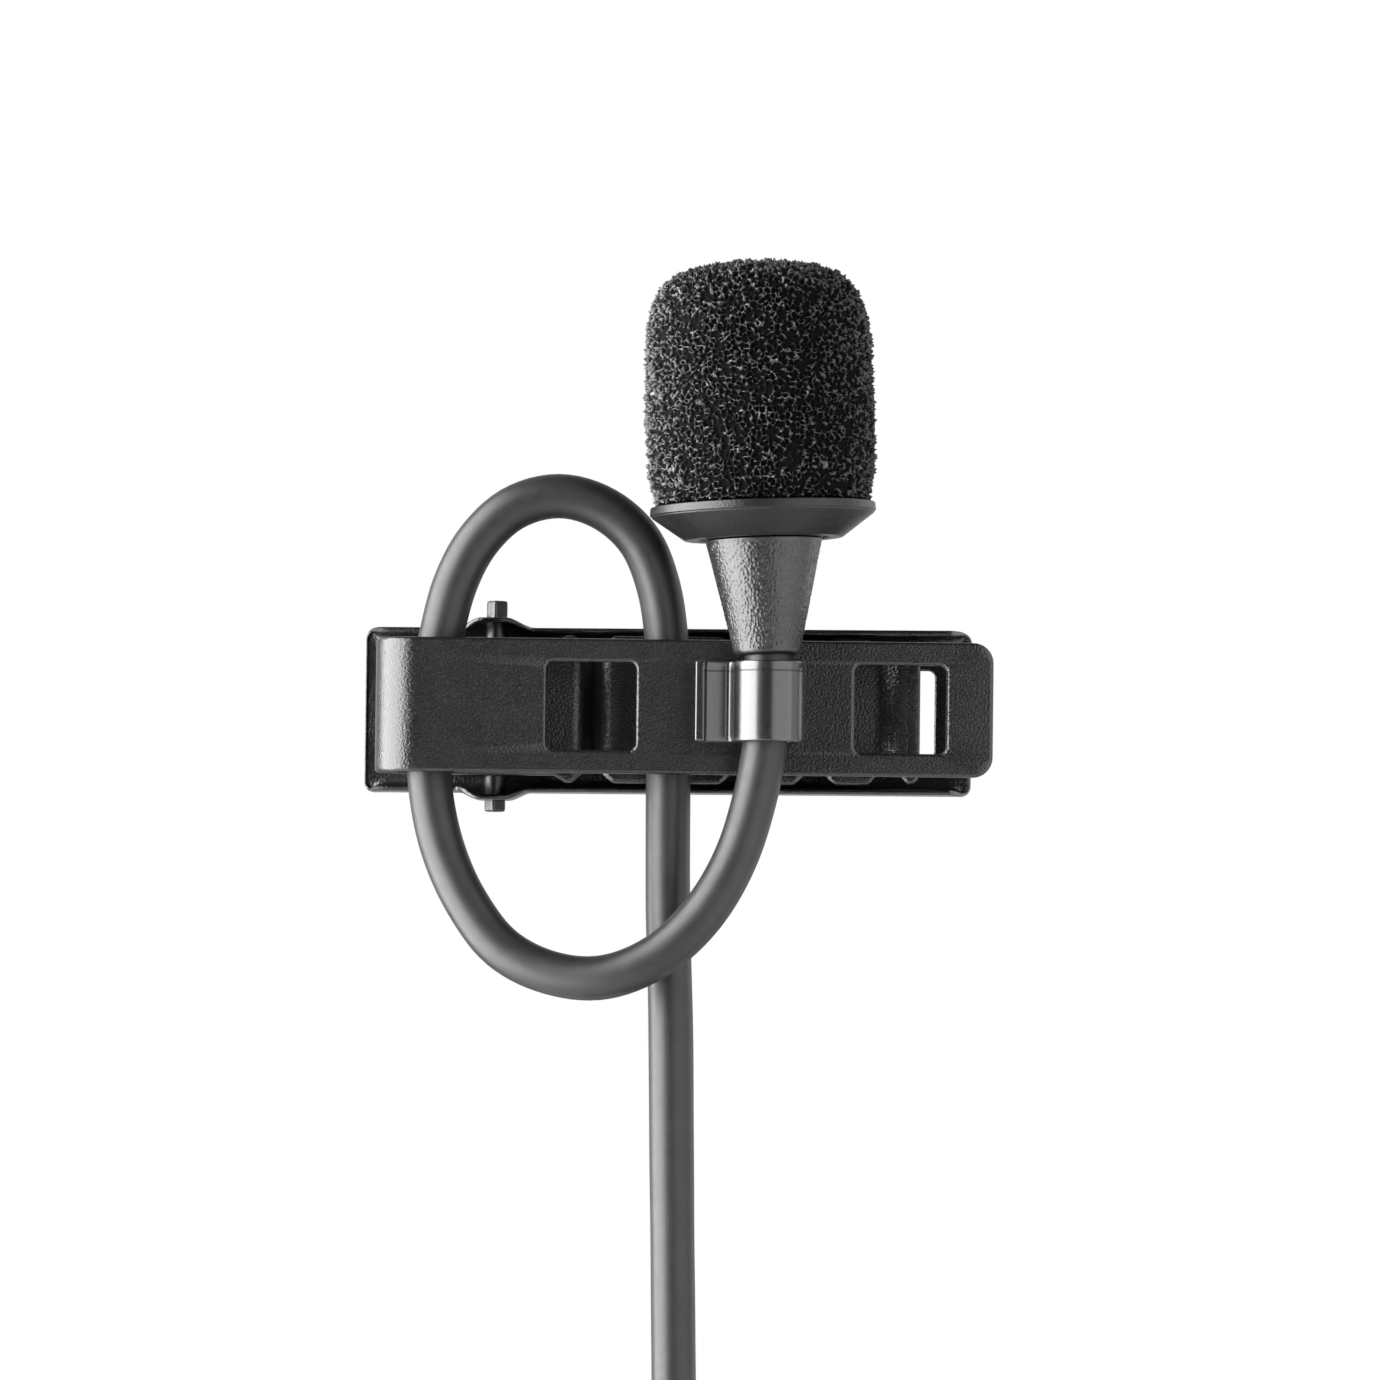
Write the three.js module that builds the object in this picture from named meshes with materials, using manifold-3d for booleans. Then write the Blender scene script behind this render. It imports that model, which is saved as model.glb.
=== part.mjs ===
// Lavalier microphone held in a sprung tie clip, with its lead and a small 4-pin cable connector.
// Millimetres. +X runs along the clip towards its tip, +Y goes from the front of the clip to
// the wearer, +Z is up. The origin is the middle of the grip, where the jaws hold the cloth.
import * as THREE from 'three';
import { mergeVertices } from 'three/addons/utils/BufferGeometryUtils.js';
import Module from 'manifold-3d';

const wasm = await Module();
wasm.setup();

// ---- Driving dimensions. Inside the clip, depth y counts back from the plate's front face ----
const GRIP_DEPTH = 4.6;
const GAP = 0.05; // between pieces that stay together
const TOUCH = 0.3; // between the lead's solids and what they meet

// Folded front part: plate, fold round the lead, and the toothed inner jaw
const SHEET = 0.5;
const PLATE = { left: -13.4, right: 12.9, half: 2.87, corner: 0.87 };
const WINDOWS = [{ left: -6.08, right: -2.3 }, { left: 7.0, right: 10.9 }];
const WINDOW_HALF = 1.88;
const WINDOW_CORNER = 0.32;
const CHANNEL = 2.6;
const JAW_Y = SHEET + CHANNEL;
const JAW = { start: 0.4, half: 3.15, end: 9.84, lip: 7.95, lipRun: 1.6, flare: 0.5 };
const TOOTH = { first: -4.14, pitch: 3.17, count: 4, halfWidth: 0.78, depth: 0.75 };

// Hinge
const PIN = {
  x: -8.31, y: 4.9, r: 0.45, bottom: -4.37, top: 4.68, stake: 0.62,
  square: 0.351, turn: 35, tip: 0.36, tipR: 0.62, tipTall: 0.3,
};
const HOLE_R = 0.5;
const LUG = { r: 1.05, inner: 2.42, root: 0.1 };

// Rear jaw, drawn along its own floor with the pin at its origin
const REAR = {
  tilt: -5.2, left: -5.8, right: 20.32, half: 3.52, corner: 0.45,
  floor: 1.35, sheet: 0.45, flange: 0.23, edge: -0.45, endRun: 0.8, endEdge: 1.1,
  window: { left: 15.3, right: 18.75 }, ear: 1.65, crest: 0.7, bellTop: 3.9,
};

// Torsion spring on the pin
const SPRING = { r: 0.9, wire: 0.17, turns: 7, half: 1.7 };
const SPRING_LEG = { end: -12.8, front: 3.87, back: 6.38 };

// Sprung loop that holds the microphone's neck
const HOLDER = {
  x: 3.34, r: 1.31, sheet: 0.42, bottom: -1.53, top: 1.89,
  base: 0.5, flatEnd: 0.3, throat: 0.45, throatTurn: 108,
  curl: { x: 0.77, y: -1.66, r: 0.33 }, tip: [0.43, -1.9],
};
const HOLDER_Y = -(HOLDER.r + HOLDER.sheet / 2);
const RIVET = { x: 2.0, z: 0.18, shank: 0.36, head: 0.62, sink: 0.2, back: 0.22, backR: 0.434 };

// Microphone, on its own leaning axis from the middle of the loop
const MIC_LEAN = -2.36;
const MIC_BASE_Z = 0.18;
const RELIEF = { bottom: 1.98, top: 6.88, rBottom: 1.45, rTop: 2.49, round: 0.3, spigot: 7.9, spigotR: 2.25 };
const HOUSING = { r: 2.5, bore: 2.3, bottom: 6.93, top: 13.2 };
const CAP = { top: 13.6, hole: 0.3, ring: 1.3, holes: 6 };
const CAN = { r: 2.0, wall: 0.15, bottom: 9.6, top: 12.6, hole: 0.6 };
// Parts inside the capsule's can and at its mouth; span is the lower and upper z
const STACK = {
  r: 1.8,
  dustMesh: { r: 2.2, span: [12.98, 13.12] },
  gasket: { span: [9.8, 12.2] },
  ring: { bore: 1.45, span: [12.02, 12.3] },
  diaphragm: { span: [11.92, 11.97] },
  spacer: { bore: 1.5, span: [11.78, 11.87] },
  backplate: { r: 1.6, span: [11.38, 11.73], hole: 0.2, ring: 0.8, holes: 4 },
  holder: { bore: 1.25, span: [10.25, 11.33] },
  chip: { half: [0.55, 0.4], span: [10.2, 10.7] },
  board: { span: [9.75, 10.12] },
};
const COLLAR = {
  bore: 2.6, bottom: 6.92, foot: 3.36, rim: 4.8, rimLow: 7.95, rimTop: 8.37, sleeve: 3.0, sleeveTop: 11.0,
};
const FOAM = {
  bottom: 8.42,
  side: [
    [4.57, 8.42], [4.79, 9.7], [4.87, 11.6], [4.85, 13.6], [4.72, 15.9],
    [4.42, 17.1], [3.8, 17.95], [2.7, 18.45], [1.3, 18.68], [0, 18.72],
  ],
};

// Lead
const LEAD_R = 0.95;
const ROUTE = [
  [3.27, HOLDER_Y, 1.86], [3.33, HOLDER_Y, 0.2], [3.2, HOLDER_Y, -1.6], [2.8, -1.5, -3.9],
  [1.95, -1.4, -6.6], [0.55, -1.2, -8.95], [-1.36, -0.95, -10.7], [-3.6, -0.55, -11.56],
  [-5.85, 0.0, -11.35], [-7.9, 0.6, -10.3], [-9.45, 1.15, -8.3], [-10.45, 1.6, -6.1],
  [-10.98, 1.8, -3.8], [-11.12, 1.8, -1.5], [-11.0, 1.8, 1.0], [-10.66, 1.8, 2.9],
  [-10.05, 1.8, 5.28], [-9.1, 1.75, 7.1], [-7.6, 1.7, 8.5], [-5.65, 1.65, 9.02],
  [-3.75, 1.65, 8.5], [-2.25, 1.7, 7.2], [-1.45, 1.8, 5.4], [-1.05, 1.8, 3.2],
  [-0.9, 1.8, 0.0], [-0.88, 1.8, -4.0], [-0.83, 1.8, -8.5], [-0.66, 1.8, -13.3],
  [-0.55, 1.8, -19.0], [-0.42, 1.8, -25.2],
];
const HANK = { x: -0.3, top: -31.0, run: 33.5, foldR: 9.6, front: 0.8, back: 8.65 };
const HANK_OUT = HANK.foldR + LEAD_R;
const HANK_BOTTOM = HANK.top - HANK.run - 2 * HANK_OUT;
const TIE = { tall: 6, thick: 0.9, corner: 2.4, inner: 0.6 };
const TAIL = 6.2;
const LEAD_Y = 1.8;

// Connector, from its mating face upwards
const PLUG = { length: 36, shellR: 4.75, noseR: 4.3, nose: 6, step: 0.6, bore: 3.95, shellTop: 20 };
const INSERT = { r: 3.85, bottom: 0.4, top: 7.2, key: 0.5, keyDeep: 3.2 };
const CONTACT = { r: 0.5, bore: 0.28, deep: 5, ring: 1.9, bottom: 0.9, top: 10.5, cup: 2.4, cupR: 0.42 };
const CLAMP = { bottom: 15, top: 19.8, bore: 1.25, slit: 0.4, slitTall: 3 };
const NUT = { r: 4.6, top: 24.3, bore: 3.0 };
const BOOT = { bottom: 20.4, neck: 2.9, r: 3.3, tip: 1.6, ribs: 4, groove: 0.5 };
const LATCH = {
  half: 1.35, low: 7.8, high: 14.2, out: 5.35, round: 0.9,
  slot: 1.5, slotEnd: 0.3, slotFront: -6, slotBack: -2, flange: 1.8, flangeOut: 3.4, flangeIn: 3.0,
};
const LATCH_SPRING = { thick: 0.2, wide: 1.4, bow: 0.2, ends: 2.1, flat: 0.6 };

// ---- Shape helpers ----
const radians = THREE.MathUtils.degToRad;

/** Closed triangle body of a three.js geometry, facing out. */
function solid(geometry) {
  const plain = geometry.clone();
  plain.deleteAttribute('normal');
  plain.deleteAttribute('uv');
  const merged = mergeVertices(plain, 1e-4);
  const points = merged.attributes.position.array;
  const index = merged.index.array;
  const kept = [];
  let volume = 0;
  const [a, b, c] = [new THREE.Vector3(), new THREE.Vector3(), new THREE.Vector3()];
  for (let i = 0; i < index.length; i += 3) {
    const [p, q, r] = [index[i], index[i + 1], index[i + 2]];
    if (p === q || q === r || p === r) continue;
    kept.push(p, q, r);
    a.fromArray(points, 3 * p);
    b.fromArray(points, 3 * q);
    c.fromArray(points, 3 * r);
    volume += a.dot(b.cross(c));
  }
  if (volume < 0) kept.reverse();
  const mesh = new wasm.Mesh({
    numProp: 3, vertProperties: new Float32Array(points), triVerts: new Uint32Array(kept),
  });
  return new wasm.Manifold(mesh);
}

/** three.js geometry of a solid. */
function geometryOf(body) {
  const { vertProperties, triVerts } = body.getMesh();
  const geometry = new THREE.BufferGeometry();
  geometry.setAttribute('position', new THREE.BufferAttribute(new Float32Array(vertProperties), 3));
  geometry.setIndex(new THREE.BufferAttribute(new Uint32Array(triVerts), 1));
  geometry.computeVertexNormals();
  return geometry;
}

/** Outline in x and y, drawn out from z0 to z1. */
function alongZ(shape, z0, z1, curveSegments = 8) {
  const options = { depth: z1 - z0, bevelEnabled: false, curveSegments };
  return solid(new THREE.ExtrudeGeometry(shape, options).translate(0, 0, z0));
}

/** Outline in x and z, drawn out from y0 to y1. */
function alongY(shape, y0, y1, curveSegments = 8) {
  const options = { depth: y1 - y0, bevelEnabled: false, curveSegments };
  return solid(new THREE.ExtrudeGeometry(shape, options).rotateX(Math.PI / 2).translate(0, y1, 0));
}

/** Profile of [radius, z] pairs turned about the z axis. */
function turned(profile, segments = 24) {
  const points = profile.map(([r, z]) => new THREE.Vector2(r, z));
  return solid(new THREE.LatheGeometry(points, segments).rotateX(Math.PI / 2));
}

/** Ring with a square section. */
function ring(inner, outer, z0, z1, segments = 24) {
  return turned([[inner, z0], [outer, z0], [outer, z1], [inner, z1], [inner, z0]], segments);
}

function disc(r, z0, z1, segments = 24) {
  return turned([[0, z0], [r, z0], [r, z1], [0, z1]], segments);
}

function box(x0, x1, y0, y1, z0, z1) {
  const shape = new THREE.BoxGeometry(x1 - x0, y1 - y0, z1 - z0);
  return solid(shape.translate((x0 + x1) / 2, (y0 + y1) / 2, (z0 + z1) / 2));
}

function circle(x, y, r) {
  return new THREE.Shape().absarc(x, y, r, 0, 2 * Math.PI);
}

function roundedRectangle(x0, x1, y0, y1, r) {
  return new THREE.Shape()
    .moveTo(x0 + r, y0).lineTo(x1 - r, y0).absarc(x1 - r, y0 + r, r, -Math.PI / 2, 0)
    .lineTo(x1, y1 - r).absarc(x1 - r, y1 - r, r, 0, Math.PI / 2)
    .lineTo(x0 + r, y1).absarc(x0 + r, y1 - r, r, Math.PI / 2, Math.PI)
    .lineTo(x0, y0 + r).absarc(x0 + r, y0 + r, r, Math.PI, 1.5 * Math.PI);
}

/** Outline of a bent strip of one thickness along a path of [x, y] points. */
function strip(path, thickness) {
  const points = path.map(([x, y]) => new THREE.Vector2(x, y));
  const left = [];
  const right = [];
  points.forEach((point, i) => {
    const before = points[Math.max(i - 1, 0)];
    const after = points[Math.min(i + 1, points.length - 1)];
    const along = after.clone().sub(before).normalize();
    const across = new THREE.Vector2(-along.y, along.x).multiplyScalar(thickness / 2);
    left.push(point.clone().add(across));
    right.push(point.clone().sub(across));
  });
  return new THREE.Shape([...right, ...left.reverse()]);
}

/** Points of an arc as [x, y] pairs, from one angle to another in degrees. */
function arc(x, y, r, from, to, steps) {
  return Array.from({ length: steps + 1 }, (_, i) => {
    const angle = radians(from + (to - from) * i / steps);
    return [x + r * Math.cos(angle), y + r * Math.sin(angle)];
  });
}

/** Round bar of a given radius along a smooth path of [x, y, z] points. */
function bar(points, r, sides, steps) {
  const corners = arc(0, 0, r, 0, 360, sides).slice(0, -1);
  const section = new THREE.Shape(corners.map(([x, y]) => new THREE.Vector2(x, y)));
  const path = new THREE.CatmullRomCurve3(points.map((p) => new THREE.Vector3(...p)));
  return solid(new THREE.ExtrudeGeometry(section, { steps, extrudePath: path, bevelEnabled: false }));
}

/** Solid of an outline in y and z, drawn out along x from -half to half. */
function acrossX(shape, half) {
  const options = { depth: 2 * half, bevelEnabled: false, curveSegments: 6 };
  const turn = new THREE.Matrix4().set(0, 0, 1, -half, 1, 0, 0, 0, 0, 1, 0, 0, 0, 0, 0, 1);
  return solid(new THREE.ExtrudeGeometry(shape, options).applyMatrix4(turn));
}

function finish(color, roughness, metalness = 0) {
  return new THREE.MeshStandardMaterial({ color, roughness, metalness });
}

function piece(name, body, material) {
  const mesh = new THREE.Mesh(geometryOf(body), material);
  mesh.name = name;
  return mesh;
}

// ---- Clip ----
/** Middle line of the inner jaw's sheet: teeth pressed back between flats, then a tip flared forwards. */
function jawPath() {
  const flat = JAW_Y + SHEET / 2;
  const path = [];
  const sideSteps = 3;
  for (let tooth = 0; tooth < TOOTH.count; tooth += 1) {
    for (let i = -sideSteps; i <= sideSteps; i += 1) {
      const rise = TOOTH.depth * (1 + Math.cos(Math.PI * i / sideSteps)) / 2;
      path.push([TOOTH.first + tooth * TOOTH.pitch + i * TOOTH.halfWidth / sideSteps, flat + rise]);
    }
  }
  const lipSteps = 4;
  for (let i = 0; i <= lipSteps; i += 1) {
    const rise = JAW.flare * (1 - Math.cos(Math.PI * i / lipSteps)) / 2;
    path.push([JAW.lip + JAW.lipRun * i / lipSteps, flat - rise]);
  }
  return [...path, [JAW.end, flat - JAW.flare]];
}

function frontPart() {
  const { left, right, half, corner } = PLATE;
  const foldR = SHEET + CHANNEL / 2;
  const bend = arc(left + foldR, foldR, foldR - SHEET / 2, 270, 90, 14);
  const jaw = [[TOOTH.first - TOOTH.halfWidth - JAW.start, JAW_Y + SHEET / 2], ...jawPath()];
  const fold = [[right, SHEET / 2], ...bend, ...jaw];
  const outline = roundedRectangle(left - foldR, right, -half, half, corner);
  let body = alongZ(strip(fold, SHEET), -half, half).intersect(alongY(outline, -1, PIN.y, 5));
  body = body.add(alongZ(strip(jaw, SHEET), -JAW.half, JAW.half));
  for (const hole of WINDOWS) {
    const shape = roundedRectangle(hole.left, hole.right, -WINDOW_HALF, WINDOW_HALF, WINDOW_CORNER);
    body = body.subtract(alongY(shape, -1, SHEET + 1, 4));
  }
  const lug = new THREE.Shape()
    .moveTo(PIN.x - LUG.r, JAW_Y + LUG.root).lineTo(PIN.x + LUG.r, JAW_Y + LUG.root)
    .lineTo(PIN.x + LUG.r, PIN.y).absarc(PIN.x, PIN.y, LUG.r, 0, Math.PI);
  for (const [z0, z1] of [[LUG.inner, half], [-half, -LUG.inner]]) body = body.add(alongZ(lug, z0, z1));
  return body
    .subtract(alongZ(circle(PIN.x, PIN.y, HOLE_R), -half - 1, half + 1))
    .subtract(rivetBody(GAP));
}

/** Bell pressed out of a flange round the pin, as [radius, z] pairs from its rim to its crest. */
function bell() {
  const { half, ear, crest, bellTop } = REAR;
  const steps = 4;
  return Array.from({ length: steps + 1 }, (_, i) => {
    const rise = (1 - Math.cos(Math.PI * i / steps)) / 2;
    return [THREE.MathUtils.lerp(ear, crest, i / steps), half + (bellTop - half) * rise];
  });
}

function rearJaw() {
  const { left, right, half, corner, floor, sheet, flange, edge, endRun, endEdge } = REAR;
  const { ear, bellTop, window } = REAR;
  const outline = roundedRectangle(left, right, -half, half, corner);
  const opening = roundedRectangle(window.left, window.right, -WINDOW_HALF, WINDOW_HALF, WINDOW_CORNER);
  const side = new THREE.Shape()
    .moveTo(left, floor + sheet).lineTo(left, endEdge).lineTo(left + endRun, edge)
    .lineTo(right - endRun, edge).lineTo(right, endEdge).lineTo(right, floor + sheet);
  const outside = [[0, half - flange], [ear, half - flange], ...bell(), [0, bellTop]];
  let flanges = alongZ(side, half - flange, half).add(alongZ(side, -half, flange - half));
  flanges = flanges.intersect(alongY(outline, edge - 1, floor + 1));
  return alongY(outline, floor, floor + sheet).add(flanges)
    .add(turned(outside, 20)).add(turned(outside.map(([r, z]) => [r, -z]), 20))
    .subtract(alongY(opening, floor - 1, floor + sheet + 1))
    .subtract(disc(HOLE_R, -bellTop - 1, bellTop + 1, 16));
}

function hingePin() {
  const { r, bottom, top, stake, turn, square, tip, tipR, tipTall } = PIN;
  const shank = disc(r, bottom + stake, top - stake, 16);
  const stakes = alongZ(roundedRectangle(-square, square, -square, square, 0.12), bottom, top, 3);
  const ends = turned([[0, bottom], [tip, bottom], [tipR, bottom + tipTall], [tipR, top - tipTall],
    [tip, top], [0, top]], 12);
  return shank.add(stakes.rotate([0, 0, turn]).intersect(ends)).translate([PIN.x, PIN.y, 0]);
}

function torsionSpring() {
  const { r, wire, turns, half } = SPRING;
  const { end, front, back } = SPRING_LEG;
  const middle = (end + PIN.x) / 2;
  const points = [[end, front, -half], [middle, (front + PIN.y - r) / 2, -half]];
  const perTurn = 10;
  const steps = (turns + 0.5) * perTurn;
  for (let i = 0; i <= steps; i += 1) {
    const angle = -Math.PI / 2 + 2 * Math.PI * i / perTurn;
    points.push([PIN.x + r * Math.cos(angle), PIN.y + r * Math.sin(angle), -half + 2 * half * i / steps]);
  }
  points.push([middle, (back + PIN.y + r) / 2, half], [end, back, half]);
  return bar(points, wire, 6, steps + 8);
}

/** Rivet through the loop's base and the plate, or the hole for it, which has a straight back. */
function rivetBody(clear) {
  const { shank, head, sink, back, backR } = RIVET;
  const front = -HOLDER.sheet;
  const rear = SHEET + GAP / 2;
  const profile = [[0, front - clear], [head + clear, front - clear], [shank + clear, sink + front],
    [shank + clear, rear], [clear ? shank + clear : head, rear],
    [clear ? shank + clear : backR, SHEET + back], [0, SHEET + back]];
  const points = profile.map(([r, y]) => new THREE.Vector2(r, y));
  return solid(new THREE.LatheGeometry(points, 16).translate(RIVET.x, 0, RIVET.z));
}

function micHolder() {
  const { x, r, sheet, bottom, top, base, flatEnd, throat, throatTurn, curl, tip } = HOLDER;
  const path = [
    [base, -sheet / 2], [x - flatEnd, -sheet / 2], ...arc(x, HOLDER_Y, r, 90, -180, 26),
    ...arc(x - r - throat, HOLDER_Y, throat, 0, throatTurn, 9).slice(1),
    ...arc(curl.x, curl.y, curl.r, throatTurn, 180, 5), tip,
  ];
  return alongZ(strip(path, sheet), bottom, top).subtract(rivetBody(GAP));
}

// ---- Microphone ----
function strainRelief() {
  const { bottom, top, rBottom, rTop, round, spigot, spigotR } = RELIEF;
  const foot = arc(rBottom - round, bottom + round, round, -90, 0, 4);
  return turned([[0, bottom], ...foot, [rTop, top], [spigotR, top], [spigotR, spigot], [0, spigot]]);
}

function grilleCap() {
  let body = disc(HOUSING.r, HOUSING.top + GAP, CAP.top);
  for (let i = 0; i <= CAP.holes; i += 1) {
    const angle = 2 * Math.PI * i / CAP.holes;
    const reach = i === CAP.holes ? 0 : CAP.ring;
    const hole = circle(reach * Math.cos(angle), reach * Math.sin(angle), CAP.hole);
    body = body.subtract(alongZ(hole, HOUSING.top - 1, CAP.top + 1, 5));
  }
  return body;
}

function capsuleCan() {
  const { r, wall, bottom, top, hole } = CAN;
  const roof = top - wall;
  return turned([[r - wall, bottom], [r, bottom], [r, top], [hole, top], [hole, roof], [r - wall, roof],
    [r - wall, bottom]]);
}

function backplate() {
  const { r, span: [z0, z1], hole, ring: reach, holes } = STACK.backplate;
  let body = disc(r, z0, z1, 16);
  for (let i = 0; i < holes; i += 1) {
    const angle = 2 * Math.PI * (i + 0.5) / holes;
    const shape = circle(reach * Math.cos(angle), reach * Math.sin(angle), hole);
    body = body.subtract(alongZ(shape, z0 - 1, z1 + 1, 4));
  }
  return body;
}

function windscreenCollar() {
  const { bore, bottom, foot, rim, rimLow, rimTop, sleeve, sleeveTop } = COLLAR;
  return turned([[bore, bottom], [foot, bottom], [rim, rimLow], [rim, rimTop], [sleeve, rimTop],
    [sleeve, sleeveTop], [bore, sleeveTop], [bore, bottom]], 36);
}

function windscreenFoam() {
  const { bottom, side } = FOAM;
  const curve = new THREE.SplineCurve(side.map(([r, z]) => new THREE.Vector2(r, z)));
  const outer = curve.getPoints(16).map((p) => [Math.max(p.x, 0), p.y]);
  const { bore, sleeve, sleeveTop } = COLLAR;
  const inner = [[0, CAP.top + TOUCH], [bore, CAP.top + TOUCH], [bore, sleeveTop + GAP],
    [sleeve + GAP, sleeveTop + GAP], [sleeve + GAP, bottom]];
  return turned([...inner, ...outer.slice(0, -1), side.at(-1)], 32);
}

function microphone() {
  const rubber = finish(0x2a2a2b, 0.72);
  const black = finish(0x232324, 0.42, 0.8);
  const brass = finish(0xb08d4a, 0.35, 1);
  const { r, dustMesh, gasket, ring: rim, diaphragm, spacer, holder, chip, board } = STACK;
  const [chipX, chipY] = chip.half;
  const group = new THREE.Group();
  group.position.set(HOLDER.x, HOLDER_Y, MIC_BASE_Z);
  group.rotation.y = radians(MIC_LEAN);
  group.add(
    piece('strain_relief', strainRelief(), rubber),
    piece('mic_housing', ring(HOUSING.bore, HOUSING.r, HOUSING.bottom, HOUSING.top), black),
    piece('grille_cap', grilleCap(), black),
    piece('dust_mesh', disc(dustMesh.r, ...dustMesh.span), finish(0x1b1b1c, 0.95)),
    piece('capsule_gasket', ring(CAN.r + GAP, HOUSING.bore - GAP, ...gasket.span), finish(0x161616, 0.8)),
    piece('capsule_can', capsuleCan(), finish(0xb9bbbd, 0.3, 1)),
    piece('diaphragm_ring', ring(rim.bore, r, ...rim.span, 16), brass),
    piece('diaphragm', disc(r, ...diaphragm.span, 16), finish(0xc9a95c, 0.2, 0.9)),
    piece('spacer_ring', ring(spacer.bore, r, ...spacer.span, 16), finish(0xd8d2be, 0.6)),
    piece('backplate', backplate(), finish(0xbcae80, 0.3, 1)),
    piece('backplate_holder', ring(holder.bore, r, ...holder.span, 16), finish(0xe4dfce, 0.55)),
    piece('fet_chip', box(-chipX, chipX, -chipY, chipY, ...chip.span), finish(0x111111, 0.5)),
    piece('capsule_board', disc(r, ...board.span, 16), finish(0x1f5a33, 0.5)),
    piece('windscreen_collar', windscreenCollar(), finish(0x262627, 0.42)),
    piece('windscreen_foam', windscreenFoam(), finish(0x1a1a1b, 0.98)),
  );
  return group;
}

// ---- Lead ----
function leadRoute() {
  return bar([...ROUTE, [HANK.x, LEAD_Y, HANK.top + TOUCH]], LEAD_R, 8, 80);
}

function hankOutline(grow) {
  const r = HANK_OUT + grow;
  const high = HANK.top - HANK_OUT;
  const low = high - HANK.run;
  return new THREE.Shape()
    .absarc(HANK.x, high, r, 0, Math.PI).lineTo(HANK.x - r, low)
    .absarc(HANK.x, low, r, Math.PI, 2 * Math.PI).lineTo(HANK.x + r, high);
}

function hankTie() {
  const middle = HANK.top - HANK_OUT - HANK.run / 2;
  const wrap = (grow, corner) => roundedRectangle(HANK.x - HANK_OUT - grow, HANK.x + HANK_OUT + grow,
    HANK.front - grow, HANK.back + grow, corner);
  const outer = alongZ(wrap(TOUCH + TIE.thick, TIE.corner), middle - TIE.tall / 2, middle + TIE.tall / 2);
  return outer.subtract(alongZ(wrap(TOUCH, TIE.inner), middle - TIE.tall, middle + TIE.tall));
}

function lead() {
  const jacket = finish(0x2e2e2f, 0.6);
  const tail = [HANK_BOTTOM - TOUCH, HANK_BOTTOM - TAIL / 2, HANK_BOTTOM - TAIL + TOUCH];
  return [
    piece('cable', leadRoute(), jacket),
    piece('cable_hank', alongY(hankOutline(0), HANK.front, HANK.back, 12), jacket),
    piece('hank_tie', hankTie(), finish(0x1d1d1f, 0.9)),
    piece('cable_tail', bar(tail.map((z) => [HANK.x, LEAD_Y, z]), LEAD_R, 8, 2), jacket),
  ];
}

// ---- Connector ----
function connectorShell() {
  const { shellR, noseR, nose, step, bore, shellTop } = PLUG;
  const { slot, slotEnd, slotFront, slotBack, low, high } = LATCH;
  return turned([[bore, 0], [noseR, 0], [noseR, nose], [shellR, nose + step], [shellR, shellTop],
    [bore, shellTop], [bore, 0]], 28)
    .subtract(box(-slot, slot, slotFront, slotBack, low - slotEnd, high + slotEnd));
}

function contactPlaces() {
  return [45, 135, 225, 315].map((angle) => [
    CONTACT.ring * Math.cos(radians(angle)), CONTACT.ring * Math.sin(radians(angle))]);
}

function connectorInsert() {
  const { r, bottom, top, key, keyDeep } = INSERT;
  let body = disc(r, bottom, top, 28).subtract(box(-key, key, keyDeep, r + 1, bottom - 1, top + 1));
  for (const [x, y] of contactPlaces()) {
    body = body.subtract(alongZ(circle(x, y, CONTACT.r + GAP), bottom - 1, top + 1, 5));
  }
  return body;
}

/** Socket contact, with a thinner solder cup at its top. */
function contact([x, y]) {
  const { r, bore, deep, bottom, top, cup, cupR } = CONTACT;
  const socket = turned([[0, bottom + deep], [bore, bottom + deep], [bore, bottom], [r, bottom],
    [r, top - cup], [cupR, top - cup], [cupR, top], [0, top]], 10);
  return socket.translate([x, y, 0]);
}

function latchButton() {
  const { half, low, high, out, round, flange, flangeOut, flangeIn } = LATCH;
  const face = new THREE.Shape()
    .moveTo(-flangeIn, low).lineTo(round - out, low)
    .quadraticCurveTo(-out, low + round / 2, -out, low + 2 * round).lineTo(-out, high - 1.3 * round)
    .quadraticCurveTo(-out, high - round / 3, round - out, high)
    .lineTo(-flangeIn, high);
  return acrossX(face, half).add(box(-flange, flange, -flangeOut, -flangeIn, low, high));
}

function latchSpring() {
  const { thick, wide, bow, ends, flat } = LATCH_SPRING;
  const { low, high, flangeIn } = LATCH;
  const middle = (low + high) / 2;
  const top = bow - flangeIn;
  const path = [[-ends, low], [top + thick / 4, middle - flat], [top, middle],
    [top + thick / 4, middle + flat], [-ends, high]];
  return acrossX(strip(path, thick), wide / 2);
}

function cableClamp() {
  const { bottom, top, bore, slit, slitTall } = CLAMP;
  return ring(bore, INSERT.r, bottom, top)
    .subtract(box(-slit, slit, 0, INSERT.r + 1, bottom - 1, bottom + slitTall));
}

/** Boot behind the nut, with grooves between ribs that get smaller towards its tip. */
function connectorBoot() {
  const { bottom, neck, r, tip, ribs, groove } = BOOT;
  const foot = NUT.top + 2 * GAP;
  const profile = [[0, bottom], [neck, bottom], [neck, foot], [r, foot]];
  const pitch = (PLUG.length - foot - 2) / ribs;
  for (let i = 0; i < ribs; i += 1) {
    const z = foot + 1 + i * pitch;
    const wide = THREE.MathUtils.lerp(r, tip, i / ribs);
    profile.push([wide, z], [wide - 0.9 * groove, z + 0.06 * pitch], [wide - groove, z + 0.4 * pitch],
      [wide - 0.3 * groove, z + 0.55 * pitch]);
  }
  profile.push([tip, PLUG.length - 1], [tip - 0.2, PLUG.length], [0, PLUG.length]);
  return turned(profile, 20);
}

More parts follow.
